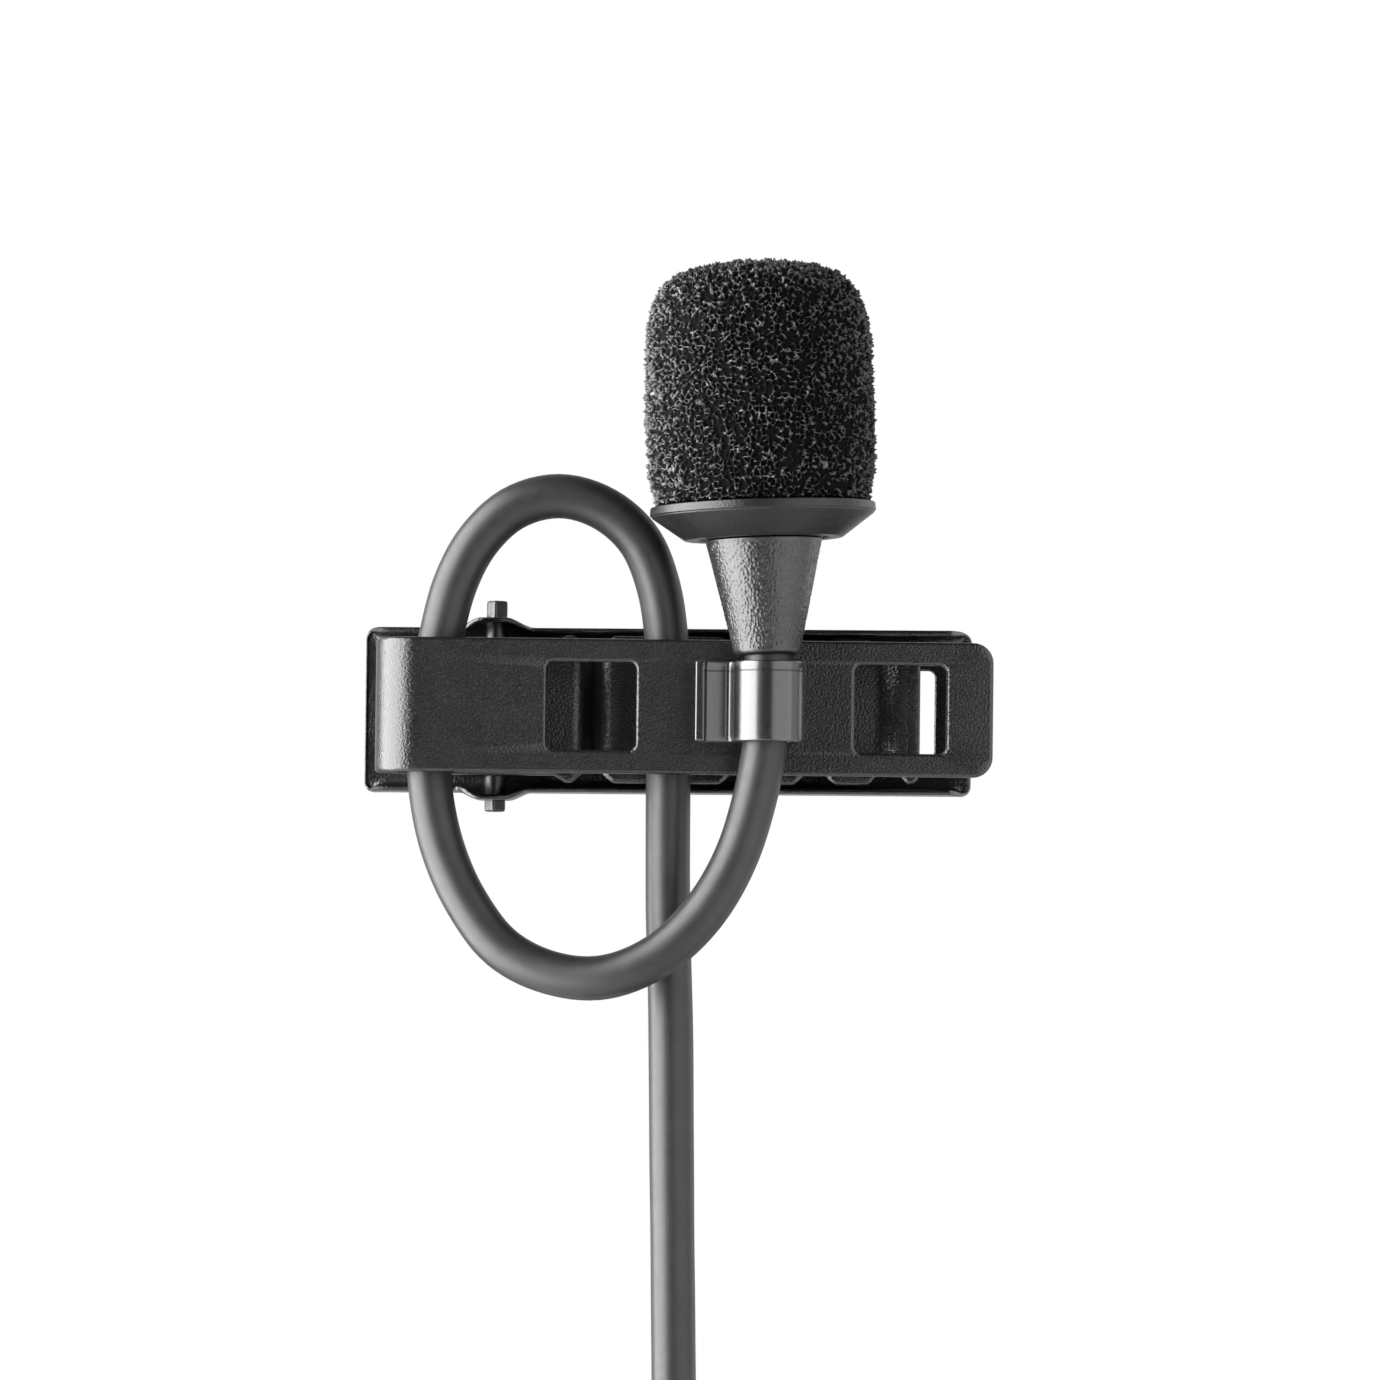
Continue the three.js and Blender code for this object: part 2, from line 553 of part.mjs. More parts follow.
function connector() {
  const nickel = finish(0x9c9da0, 0.3, 1);
  const gold = finish(0xc9a14a, 0.25, 1);
  const group = new THREE.Group();
  group.position.set(HANK.x, LEAD_Y, HANK_BOTTOM - TAIL - PLUG.length);
  group.add(
    piece('connector_shell', connectorShell(), nickel),
    piece('connector_insert', connectorInsert(), finish(0x18181a, 0.5)),
    ...contactPlaces().map((place, i) => piece(`contact_${i + 1}`, contact(place), gold)),
    piece('latch_button', latchButton(), finish(0x8f9093, 0.35, 1)),
    piece('latch_spring', latchSpring(), finish(0xb4b5b8, 0.3, 1)),
    piece('cable_clamp', cableClamp(), finish(0x3a3a3c, 0.6)),
    piece('connector_nut', ring(NUT.bore, NUT.r, PLUG.shellTop + GAP, NUT.top, 24), nickel),
    piece('connector_boot', connectorBoot(), finish(0x1a1a1b, 0.7)),
  );
  return group;
}

// ---- Whole object ----
function clip() {
  const paint = finish(0x262627, 0.5, 0.3);
  const rear = piece('rear_jaw', rearJaw(), finish(0x232324, 0.5, 0.3));
  rear.position.set(PIN.x, PIN.y, 0);
  rear.rotation.z = radians(REAR.tilt);
  return [
    piece('front_plate', frontPart(), paint),
    rear,
    piece('hinge_pin', hingePin(), finish(0x3a3a3b, 0.4, 0.8)),
    piece('torsion_spring', torsionSpring(), finish(0x6c6d70, 0.35, 1)),
    piece('mic_holder', micHolder(), finish(0x1f1f20, 0.22, 0.3)),
    piece('holder_rivet', rivetBody(0), finish(0x2a2a2b, 0.35, 0.7)),
  ];
}

const lavalier = new THREE.Group();
lavalier.position.y = -GRIP_DEPTH;
lavalier.add(...clip(), microphone(), ...lead(), connector());

export default lavalier;
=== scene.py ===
"""Looks of a lavalier microphone on its tie clip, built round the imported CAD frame.

Shapes are worked out in millimetres in the clip's own terms, where depth y counts back from the
front plate's face, and turned into the frame's metres as they become meshes.
"""

import math

import bmesh
import bpy
import numpy as np
from mathutils import Matrix, Vector


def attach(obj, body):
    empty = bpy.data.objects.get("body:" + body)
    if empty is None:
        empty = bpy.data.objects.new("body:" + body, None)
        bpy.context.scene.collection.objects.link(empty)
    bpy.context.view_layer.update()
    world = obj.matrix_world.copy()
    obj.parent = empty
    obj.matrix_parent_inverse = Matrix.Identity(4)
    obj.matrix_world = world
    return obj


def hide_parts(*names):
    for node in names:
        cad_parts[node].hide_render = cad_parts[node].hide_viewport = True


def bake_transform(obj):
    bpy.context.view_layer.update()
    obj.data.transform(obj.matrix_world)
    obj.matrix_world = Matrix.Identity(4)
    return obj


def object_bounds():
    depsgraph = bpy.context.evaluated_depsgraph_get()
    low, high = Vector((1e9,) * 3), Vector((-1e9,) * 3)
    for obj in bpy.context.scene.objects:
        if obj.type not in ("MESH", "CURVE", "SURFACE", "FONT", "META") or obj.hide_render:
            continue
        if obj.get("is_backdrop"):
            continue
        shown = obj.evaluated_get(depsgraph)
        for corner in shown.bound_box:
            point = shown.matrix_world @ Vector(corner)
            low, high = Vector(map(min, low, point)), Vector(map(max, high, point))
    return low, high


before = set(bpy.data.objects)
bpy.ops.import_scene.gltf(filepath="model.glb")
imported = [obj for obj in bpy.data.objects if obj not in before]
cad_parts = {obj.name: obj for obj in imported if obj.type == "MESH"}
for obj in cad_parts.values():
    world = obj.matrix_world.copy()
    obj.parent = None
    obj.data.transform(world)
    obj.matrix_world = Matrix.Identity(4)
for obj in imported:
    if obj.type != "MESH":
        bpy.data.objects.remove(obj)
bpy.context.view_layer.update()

# ---- Places and sizes, in millimetres ----
MM = 0.001
GRIP_DEPTH = 4.6
FINE = 0.09  # spacing of the points along a bent sheet, a wire or a rim

SHEET = 0.5
PLATE = {"left": -13.4, "right": 12.9, "half": 2.87, "corner": 0.87}
WINDOWS = [(-6.08, -2.3), (7.0, 10.9)]
WINDOW_HALF = 1.88
WINDOW_CORNER = 0.32
CHANNEL = 2.6
JAW_Y = SHEET + CHANNEL
JAW = {
    "start": 0.4, "half": 3.15, "narrower": 0.22, "pad_start": 0.42, "pad_run": 0.62,
    "end": 9.84, "lip": 7.95, "lip_run": 1.6, "flare": 0.5, "tip_corner": 0.4,
}
TOOTH = {"first": -4.14, "pitch": 3.17, "count": 4, "half_width": 0.78, "depth": 0.75}

PIN = {
    "x": -8.31, "y": 4.9, "r": 0.45, "bottom": -4.37, "top": 4.68,
    "stake": 0.62, "fade": 0.2, "square": 0.351, "power": 7, "turn": 35, "worn": 0.11,
}
HOLE_R = 0.5
LUG = {"r": 1.05, "inner": 2.42}
REAR = {
    "tilt": -5.2, "left": -5.8, "right": 20.32, "half": 3.52, "corner": 0.45,
    "floor": 1.35, "sheet": 0.45, "flange": 0.23, "edge": -0.45, "end_run": 0.8,
    "thin": 0.1, "crease": 0.06, "round": 0.4, "window": (15.3, 18.75), "window_edge": 0.07,
    "ear": 1.65, "bell_top": 3.9, "bell_flat": 0.55, "bell_deep": 1.1,
}
SPRING = {
    "r": 0.9, "wire": 0.17, "turns": 7.5, "steps": 28, "half": 1.7,
    "leg_end": -12.8, "leg_front": 3.87, "leg_back": 6.38,
}
HOLDER = {
    "x": 3.34, "r": 1.31, "sheet": 0.42, "bottom": -1.53, "top": 1.89, "base": 0.5, "flat_end": 0.3,
    "throat": 0.45, "throat_turn": 108, "curl": (0.77, -1.66, 0.33), "tip": (0.43, -1.9),
    "groove": 0.42, "groove_deep": 0.03, "groove_half": 0.01,
}
HOLDER_Y = -(HOLDER["r"] + HOLDER["sheet"] / 2)
RIVET = {"x": 2.0, "z": 0.18, "shank": 0.36, "head": 0.62, "sink": 0.2, "back": 0.22, "back_r": 0.434}

MIC_LEAN = -2.36
MIC_BASE_Z = 0.18
RELIEF = {
    "bottom": 1.98, "top": 6.88, "r_bottom": 1.45, "r_top": 2.49, "round": 0.3,
    "spigot": 7.9, "spigot_r": 2.25, "pebble": 0.14, "fine_pebble": 0.09, "grain": 0.04,
}
HOUSING = {"r": 2.5, "bore": 2.3, "bottom": 6.93, "top": 13.2, "groove": 7.83, "groove_deep": 0.08}
CAP = {"top": 13.6, "hole": 0.3, "ring": 1.3, "holes": 6}
COLLAR = {
    "bore": 2.6, "bottom": 6.92, "foot": 3.36, "rim": 4.8, "rim_low": 7.95, "rim_top": 8.37,
    "sleeve": 3.0, "sleeve_top": 11.0,
}
FOAM = {
    "bottom": 8.42,
    "side": [
        (4.57, 8.42), (4.79, 9.7), (4.87, 11.6), (4.85, 13.6), (4.72, 15.9),
        (4.42, 17.1), (3.8, 17.95), (2.7, 18.45), (1.3, 18.68), (0, 18.72),
    ],
    "cell": 0.25, "ridge": 0.14, "gap": 0.14, "knob": 0.13, "pit": 0.2, "knob_rise": 0.11,
    "swell": 0.55, "swell_rise": 0.05,
}

LEAD_R = 0.95
ROUTE = [
    (3.27, HOLDER_Y, 1.86), (3.33, HOLDER_Y, 0.2), (3.2, HOLDER_Y, -1.6), (2.8, -1.5, -3.9),
    (1.95, -1.4, -6.6), (0.55, -1.2, -8.95), (-1.36, -0.95, -10.7), (-3.6, -0.55, -11.56),
    (-5.85, 0.0, -11.35), (-7.9, 0.6, -10.3), (-9.45, 1.15, -8.3), (-10.45, 1.6, -6.1),
    (-10.98, 1.8, -3.8), (-11.12, 1.8, -1.5), (-11.0, 1.8, 1.0), (-10.66, 1.8, 2.9),
    (-10.05, 1.8, 5.28), (-9.1, 1.75, 7.1), (-7.6, 1.7, 8.5), (-5.65, 1.65, 9.02),
    (-3.75, 1.65, 8.5), (-2.25, 1.7, 7.2), (-1.45, 1.8, 5.4), (-1.05, 1.8, 3.2),
    (-0.9, 1.8, 0.0), (-0.88, 1.8, -4.0), (-0.83, 1.8, -8.5), (-0.66, 1.8, -13.3),
    (-0.55, 1.8, -19.0), (-0.42, 1.8, -25.2),
]
LEAD_Y = 1.8
HANK = {
    "x": -0.3, "top": -31.0, "run": 33.5, "front": 0.8, "back": 8.65,
    "fold": 5.7, "pitch": 1.95, "layers": 3, "nested": 3,
}
HANK_OUT = HANK["fold"] + (HANK["nested"] - 1) * HANK["pitch"] + LEAD_R
HANK_HIGH = HANK["top"] - HANK_OUT
HANK_LOW = HANK_HIGH - HANK["run"]
HANK_BOTTOM = HANK_LOW - HANK_OUT
TIE = {"tall": 6, "gap": 0.32, "corner": 2.0, "thick": 0.42, "lap": 0.36, "ripples": 40, "ripple": 0.02}
TAIL = 6.2
FLOOR_DROP = 0.12  # in metres
INTO_RELIEF = 1.2  # the lead goes this far up inside the strain relief and down inside the boot

PLUG = {
    "length": 36, "shell_r": 4.75, "nose_r": 4.3, "nose": 6, "step": 0.6, "bore": 3.95, "shell_top": 20,
    "groove": 15.5,
}
INSERT = {"r": 3.85, "bottom": 0.4, "top": 7.2, "key": 0.5, "key_deep": 3.2}
CONTACT = {
    "r": 0.5, "bore": 0.28, "deep": 5, "ring": 1.9, "bottom": 0.9, "top": 10.5, "cup": 2.4, "cup_r": 0.42,
}
NUT = {"r": 4.6, "top": 24.3, "bore": 3.0, "ridges": 58, "knurl": 0.13}
BOOT = {"bottom": 20.4, "neck": 2.9, "r": 3.3, "tip": 1.6, "ribs": 4, "groove": 0.475}
LATCH = {
    "half": 1.35, "low": 7.8, "high": 14.2, "out": 5.35, "round": 0.9, "flange_in": 3.0,
    "slot": 1.5, "slot_end": 0.3, "slot_round": 0.5, "grooves": 3, "groove_in": 2.4, "groove_deep": 0.2,
}
LEAF = {"thick": 0.2, "wide": 1.4, "bow": 0.2, "feet": 2.1, "flat": 0.6}


# ---- Shape tools, in millimetres ----
def smooth_route(points, spacing):
    """Evenly spaced points on a centripetal Catmull-Rom curve through points."""
    p = np.array(points, float)
    p = np.vstack([2 * p[0] - p[1], p, 2 * p[-1] - p[-2]])
    dense = []
    for four in zip(p[:-3], p[1:-2], p[2:-1], p[3:]):
        t = np.cumsum([0] + [np.linalg.norm(b - a) ** 0.5 for a, b in zip(four, four[1:])])
        for u in np.linspace(t[1], t[2], 24, endpoint=False):
            three = [mix(four[k], four[k + 1], (u - t[k]) / (t[k + 1] - t[k])) for k in range(3)]
            two = [mix(three[k], three[k + 1], (u - t[k]) / (t[k + 2] - t[k])) for k in range(2)]
            dense.append(mix(*two, (u - t[1]) / (t[2] - t[1])))
    return even(np.array(dense + [p[-2]]), spacing)


def even(points, spacing):
    """The same line with its points about spacing apart."""
    points = np.asarray(points, float)
    along = distance_along(points)
    at = np.linspace(0, along[-1], max(2, round(along[-1] / spacing) + 1))
    return np.stack([np.interp(at, along, points[:, k]) for k in range(points.shape[1])], axis=1)


def distance_along(points):
    return np.concatenate([[0], np.cumsum(np.linalg.norm(np.diff(points, axis=0), axis=1))])


def ease(t):
    t = np.clip(t, 0, 1)
    return t * t * (3 - 2 * t)


def mix(a, b, t):
    return a + (b - a) * t


def arc(x, y, r, start, end, steps):
    """Points on an arc, with its angles in degrees."""
    a = np.radians(np.linspace(start, end, steps + 1))
    return np.stack([x + r * np.cos(a), y + r * np.sin(a)], axis=1)


def circle(x, y, r, count=24):
    return arc(x, y, r, 0, 360 - 360 / count, count - 1)


def rounded_box(x0, x1, y0, y1, r, steps=8):
    """Outline of a rectangle with round corners, anticlockwise."""
    centres = [(x1 - r, y0 + r, -90), (x1 - r, y1 - r, 0), (x0 + r, y1 - r, 90), (x0 + r, y0 + r, 180)]
    return np.vstack([arc(x, y, r, a, a + 90, steps) for x, y, a in centres])


def filleted(profile, radius, steps=4):
    """A line of (r, z) points with its inner corners rounded."""
    p = np.asarray(profile, float)
    done = [p[0]]
    for before, corner, after in zip(p[:-2], p[1:-1], p[2:]):
        to, off = before - corner, after - corner
        reach = min(radius, 0.45 * np.linalg.norm(to), 0.45 * np.linalg.norm(off))
        a = corner + to / np.linalg.norm(to) * reach
        b = corner + off / np.linalg.norm(off) * reach
        for t in np.linspace(0, 1, steps + 1):
            done.append((1 - t) ** 2 * a + 2 * t * (1 - t) * corner + t * t * b)
    return np.array(done + [p[-1]])


def row(points):
    """Clip millimetres to frame metres."""
    return (np.asarray(points, float) - [0, GRIP_DEPTH, 0]) * MM


def placed(points, turn, angle, origin):
    """Points turned about the y or z axis by degrees, as three.js turns a group, then moved."""
    matrix = np.array(Matrix.Rotation(math.radians(angle), 3, turn))
    return np.asarray(points, float) @ matrix.T + origin


def on_mic(points):
    return placed(points, "Y", MIC_LEAN, (HOLDER["x"], HOLDER_Y, MIC_BASE_Z))


def on_rear(points):
    return placed(points, "Z", REAR["tilt"], (PIN["x"], PIN["y"], 0))


def on_plug(points):
    return np.asarray(points, float) + [HANK["x"], LEAD_Y, HANK_BOTTOM - TAIL - PLUG["length"]]


def mesh_piece(name, vertices, faces, strut=None):
    """A new smooth object from clip millimetres, with a strut value for each vertex if it has any."""
    mesh = bpy.data.meshes.new(name)
    mesh.from_pydata(row(vertices).tolist(), [], [[int(i) for i in f] for f in faces])
    if strut is not None:
        mesh.attributes.new("strut", "FLOAT", "POINT").data.foreach_set("value", strut.astype(np.float32))
    mesh.validate()
    work = bmesh.new()
    work.from_mesh(mesh)
    bmesh.ops.remove_doubles(work, verts=work.verts, dist=1e-8)
    bmesh.ops.recalc_face_normals(work, faces=work.faces)
    work.to_mesh(mesh)
    work.free()
    mesh.shade_smooth()
    piece = bpy.data.objects.new(name, mesh)
    bpy.context.scene.collection.objects.link(piece)
    return piece


def belongs(piece, body, slot, *nodes):
    """Puts a piece on the body it rides on, and hides the CAD nodes it stands for. slot is not used."""
    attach(piece, body)
    if nodes:
        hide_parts(*nodes)
    return piece


def steady(piece, sharp=40):
    """Keeps flat faces flat in the shading: sharp edges are split, and normals follow large faces."""
    mesh = piece.data
    work = bmesh.new()
    work.from_mesh(mesh)
    for edge in work.edges:
        edge.smooth = len(edge.link_faces) == 2 and edge.calc_face_angle(0) < math.radians(sharp)
    work.to_mesh(mesh)
    work.free()
    weighted = piece.modifiers.new("weighted", "WEIGHTED_NORMAL")
    weighted.keep_sharp = True
    return piece


def tube(points, radii, sides):
    """Vertices and faces of a round bar along points, its rings kept from twisting."""
    points = np.asarray(points, float)
    radii = np.broadcast_to(radii, len(points))
    along = np.gradient(points, axis=0)
    along /= np.linalg.norm(along, axis=1)[:, None]
    side = np.cross(along[0], [0.3, 1, 0.2])
    vertices = []
    angles = np.linspace(0, 2 * np.pi, sides, endpoint=False)
    for point, direction, r in zip(points, along, radii):
        side = side - direction * (side @ direction)
        side /= np.linalg.norm(side)
        up = np.cross(direction, side)
        vertices.extend(point + r * (np.cos(a) * side + np.sin(a) * up) for a in angles)
    faces = grid_faces(len(points), sides)
    faces.append(tuple(range(sides - 1, -1, -1)))
    faces.append(tuple(range((len(points) - 1) * sides, len(points) * sides)))
    return np.array(vertices), faces


def grid_faces(rows, columns, closed_rows=False):
    """Quads of a grid whose columns close on themselves, and whose rows may too."""
    faces = []
    for i in range(rows if closed_rows else rows - 1):
        j = (i + 1) % rows
        for k in range(columns):
            n = (k + 1) % columns
            faces.append((i * columns + k, i * columns + n, j * columns + n, j * columns + k))
    return faces


def spun(r, angle, z):
    """A grid of (r, angle, z) as rows of (x, y, z)."""
    return np.stack([r * np.cos(angle), r * np.sin(angle), z], axis=-1).reshape(-1, 3)


def turned(name, profile, place, columns=96, shape=None):
    """A body turned about z from an (r, z) profile that ends on the axis, or closes on itself.

    shape changes the whole grid of (r, angle, z) before it is placed.
    """
    profile = np.asarray(profile, float)
    closed = np.allclose(profile[0], profile[-1])
    if closed:
        profile = profile[:-1]
    r, z = (np.repeat(profile[:, k : k + 1], columns, axis=1) for k in (0, 1))
    angle = np.broadcast_to(np.linspace(0, 2 * np.pi, columns, endpoint=False), r.shape)
    strut = []
    if shape:
        r, angle, z, *strut = shape(r, angle, z)
    return mesh_piece(name, place(spun(r, angle, z)), grid_faces(len(profile), columns, closed), *strut)


def away(loop):
    """Unit steps to the right of a closed flat loop: outwards, where the loop runs anticlockwise."""
    along = np.roll(loop, -1, axis=0) - np.roll(loop, 1, axis=0)
    out = np.stack([along[:, 1], -along[:, 0]], axis=1)
    return out / (np.linalg.norm(out, axis=1)[:, None] + 1e-12)


def grown(loop, amount):
    """A closed flat loop moved outwards along its own normals."""
    ahead = np.roll(loop, -1, axis=0)
    area = np.sum(loop[:, 0] * ahead[:, 1] - ahead[:, 0] * loop[:, 1])
    return loop + away(loop) * amount * np.sign(area)


def filled(loops):
    """A flat bmesh that fills the space between closed loops, and each loop's vertices in it."""
    work = bmesh.new()
    rings = [[work.verts.new((x, y, 0)) for x, y in loop] for loop in loops]
    for ring in rings:
        for a, b in zip(ring, ring[1:] + ring[:1]):
            work.edges.new((a, b))
    bmesh.ops.triangle_fill(work, use_beauty=True, use_dissolve=False, edges=work.edges[:])
    return work, rings


def pressed(name, outline, holes, thickness, bevel, place, stations=(), rows=()):
    """A sheet cut to an outline with holes, its edges rounded, then bent by place.

    place turns (s, t, n) points into millimetres: s and t lie in the flat sheet, and n is the
    height over its middle. The sheet is cut across at the stations in s and the rows in t.
    """
    work, _ = filled([grown(outline, -bevel)] + [grown(hole, bevel) for hole in holes])
    for at, normal in [((s, 0, 0), (1, 0, 0)) for s in stations] + [((0, t, 0), (0, 1, 0)) for t in rows]:
        everything = work.verts[:] + work.edges[:] + work.faces[:]
        bmesh.ops.bisect_plane(work, geom=everything, plane_co=at, plane_no=normal, dist=1e-6)
    work.verts.index_update()
    work.normal_update()
    if sum(face.normal.z for face in work.faces) < 0:
        bmesh.ops.reverse_faces(work, faces=work.faces[:])
    flat = np.array([v.co[:2] for v in work.verts])
    faces = [[v.index for v in f.verts] for f in work.faces]
    follow = {}
    for face in work.faces:
        for loop in face.loops:
            if len(loop.edge.link_faces) == 1:
                follow[loop.vert.index] = loop.link_loop_next.vert.index
    work.free()
    top = thickness / 2
    points = [np.column_stack([flat, np.full(len(flat), h)]) for h in (top, -top)]
    total = 2 * len(flat)
    quads = faces + [[i + len(flat) for i in reversed(f)] for f in faces]
    while follow:
        first, after = follow.popitem()
        chain = [first]
        while after != first:
            chain.append(after)
            after = follow.pop(after)
        loop = flat[chain]
        out = away(loop)
        rings = [chain]
        turns = np.radians([30, 60, 90])
        heights = [(bevel * math.sin(a), top - bevel * (1 - math.cos(a))) for a in turns]
        for reach, high in heights + [(reach, -high) for reach, high in reversed(heights)]:
            points.append(np.column_stack([loop + out * reach, np.full(len(loop), high)]))
            rings.append(list(range(total, total + len(chain))))
            total += len(chain)
        rings.append([i + len(flat) for i in chain])
        for a, b in zip(rings, rings[1:]):
            for k in range(len(chain)):
                n = (k + 1) % len(chain)
                quads.append((a[k], b[k], b[n], a[n]))
    return steady(mesh_piece(name, place(np.vstack(points)), quads))


def bent_along(path):
    """A placing of (s, t, n), where s runs along an (x, y) path, t is z and n lies across the path.

    With it come the path's points, their distances along it, and the stations where it bends.
    """
    path = even(path, FINE)
    along = distance_along(path)
    slope = np.gradient(path, along, axis=0)
    slope /= np.linalg.norm(slope, axis=1)[:, None]
    turning = np.linalg.norm(np.diff(slope, axis=0), axis=1) > 1e-4
    stations = along[1:-1][turning[:-1] | turning[1:]]

    def place(points):
        s, t, n = np.asarray(points).T
        x, y = (np.interp(s, along, path[:, k]) for k in (0, 1))
        dx, dy = (np.interp(s, along, slope[:, k]) for k in (0, 1))
        size = np.hypot(dx, dy)
        return np.stack([x - dy / size * n, y + dx / size * n, t], axis=1)

    return place, path, along, stations


# ---- Fine surface patterns ----
def scatter(cell, seed):
    """A repeatable number from 0 to 1 for each whole-number cell."""
    with np.errstate(over="ignore"):
        k = (cell * np.array([73856093, 19349663, 83492791], np.int64)).sum(axis=-1).astype(np.uint64)
        k = (k + np.uint64(seed * 2654435761 + 12345)) * np.uint64(0x9E3779B97F4A7C15)
        k = (k ^ (k >> np.uint64(31))) * np.uint64(0xBF58476D1CE4E5B9)
        k = k ^ (k >> np.uint64(29))
    return (k & np.uint64(0xFFFFFF)).astype(float) / 0xFFFFFF


def cells(points, size, seed):
    """Distances to the nearest and second nearest seed of a random cell pattern, in cells."""
    p = np.asarray(points, float) / size
    base = np.floor(p).astype(np.int64)
    near = np.full(len(p), 9.0)
    second = near.copy()
    for offset in np.ndindex(3, 3, 3):
        cell = base + np.array(offset) - 1
        spot = cell + np.stack([scatter(cell, seed + k) for k in range(3)], axis=1)
        d = np.linalg.norm(spot - p, axis=1)
        second = np.minimum(second, np.maximum(near, d))
        near = np.minimum(near, d)
    return near, second


def waves(points, size, seed):
    """Smooth noise from 0 to 1 with bumps about size across."""
    p = np.asarray(points, float) / size
    base = np.floor(p).astype(np.int64)
    f = ease(p - base)
    total = np.zeros(len(p))
    for offset in np.ndindex(2, 2, 2):
        o = np.array(offset)
        weight = np.prod(np.where(o, f, 1 - f), axis=1)
        total += weight * scatter(base + o, seed)
    return total


# ---- Camera ----
def camera():
    """The long lens looks a little up at the clip, and is rolled by the tilt of the whole picture."""
    distance, view_width, sensor = 0.52, 0.05865, 36.0
    below, roll = math.radians(2.75), math.radians(0.67)
    aim = Vector((0, -GRIP_DEPTH * MM, 0.00072))
    data = bpy.data.cameras.new("camera")
    data.sensor_width = sensor
    data.lens = sensor * distance / view_width
    data.clip_start, data.clip_end = 0.005, 50
    back = Vector((0, -math.cos(below), -math.sin(below)))
    turn = back.to_track_quat("Z", "Y").to_matrix().to_4x4() @ Matrix.Rotation(roll, 4, "Z")
    cam = bpy.data.objects.new("camera", data)
    cam.matrix_world = Matrix.Translation(aim + distance * back) @ turn
    bpy.context.scene.collection.objects.link(cam)
    bpy.context.scene.camera = cam


# ---- Clip ----
def clip_front():
    """The folded part: plate, fold round the lead, and the toothed inner jaw, from one flat blank."""
    fold_r = SHEET + CHANNEL / 2
    bend_x = PLATE["left"] + fold_r
    flat = JAW_Y + SHEET / 2
    path = [(PLATE["right"], SHEET / 2)]
    path.extend(arc(bend_x, fold_r, fold_r - SHEET / 2, 270, 90, 36))
    path.append((TOOTH["first"] - TOOTH["half_width"] - JAW["start"], flat))
    for k in range(TOOTH["count"]):
        for u in np.linspace(-1, 1, 13):
            rise = TOOTH["depth"] * (1 + math.cos(math.pi * u)) / 2
            path.append((TOOTH["first"] + k * TOOTH["pitch"] + u * TOOTH["half_width"], flat + rise))
    for u in np.linspace(0, 1, 10):
        path.append((JAW["lip"] + JAW["lip_run"] * u, flat - JAW["flare"] * (1 - math.cos(math.pi * u)) / 2))
    path.append((JAW["end"], flat - JAW["flare"]))
    place, line, along, stations = bent_along(path)
    jaw_start = TOOTH["first"] - TOOTH["half_width"] - JAW["start"]
    jaw = (line[:, 1] > SHEET + CHANNEL / 2) & (line[:, 0] > jaw_start)
    half, corner = PLATE["half"], PLATE["corner"]

    def jaw_half(x):
        """Half the width of the inner jaw, whose pads swell out between its teeth."""
        pitch = TOOTH["pitch"]
        from_tooth = np.abs((x - TOOTH["first"] + pitch / 2) % pitch - pitch / 2)
        pad = ease((from_tooth - JAW["pad_start"] * TOOTH["half_width"]) / JAW["pad_run"])
        return mix(half - JAW["narrower"], JAW["half"], pad)

    x = np.arange(line[jaw, 0][0] + 0.05, JAW["end"] - 0.5, 0.1)
    edge = np.stack([np.interp(x, line[jaw, 0], along[jaw]), jaw_half(x)], axis=1)
    neck = [(edge[0, 0] - 0.5, half)]
    tip_half, tip_corner = jaw_half(x[-1]), JAW["tip_corner"]
    tip = rounded_box(0, along[-1], -tip_half, tip_half, tip_corner)
    tip = tip[tip[:, 0] > along[-1] - tip_corner - 1e-3]
    end = rounded_box(0, 4 * corner, -half, half, corner)
    end = end[end[:, 0] < corner + 1e-6]
    first = len(end) // 2
    upper = np.vstack([neck, edge])
    outline = np.vstack([end[first:], upper * [1, -1], tip, upper[::-1], end[:first]])
    holes = [window_loop(PLATE["right"] - b, PLATE["right"] - a) for a, b in WINDOWS]
    piece = pressed("clip_front", outline, holes, SHEET, 0.16, place, stations)
    return belongs(piece, "clip", "clip_paint", "front_plate")


def window_loop(start, end):
    return rounded_box(start, end, -WINDOW_HALF, WINDOW_HALF, WINDOW_CORNER)


def lugs():
    """The two lugs of the inner jaw that the pin goes through."""
    x, y, r, root = PIN["x"], PIN["y"], LUG["r"], JAW_Y + SHEET / 2
    outline = np.vstack([arc(x, y, r, 0, 180, 24), [(x - r, root), (x + r, root)]])
    middle = (LUG["inner"] + PLATE["half"]) / 2
    pieces = []
    for name, z in (("lug_upper", middle), ("lug_lower", -middle)):
        hole = circle(x, y, HOLE_R)
        piece = pressed(name, outline, [hole], PLATE["half"] - LUG["inner"], 0.05, lambda p: p + [0, 0, z])
        pieces.append(belongs(piece, "clip", "clip_paint"))
    return pieces


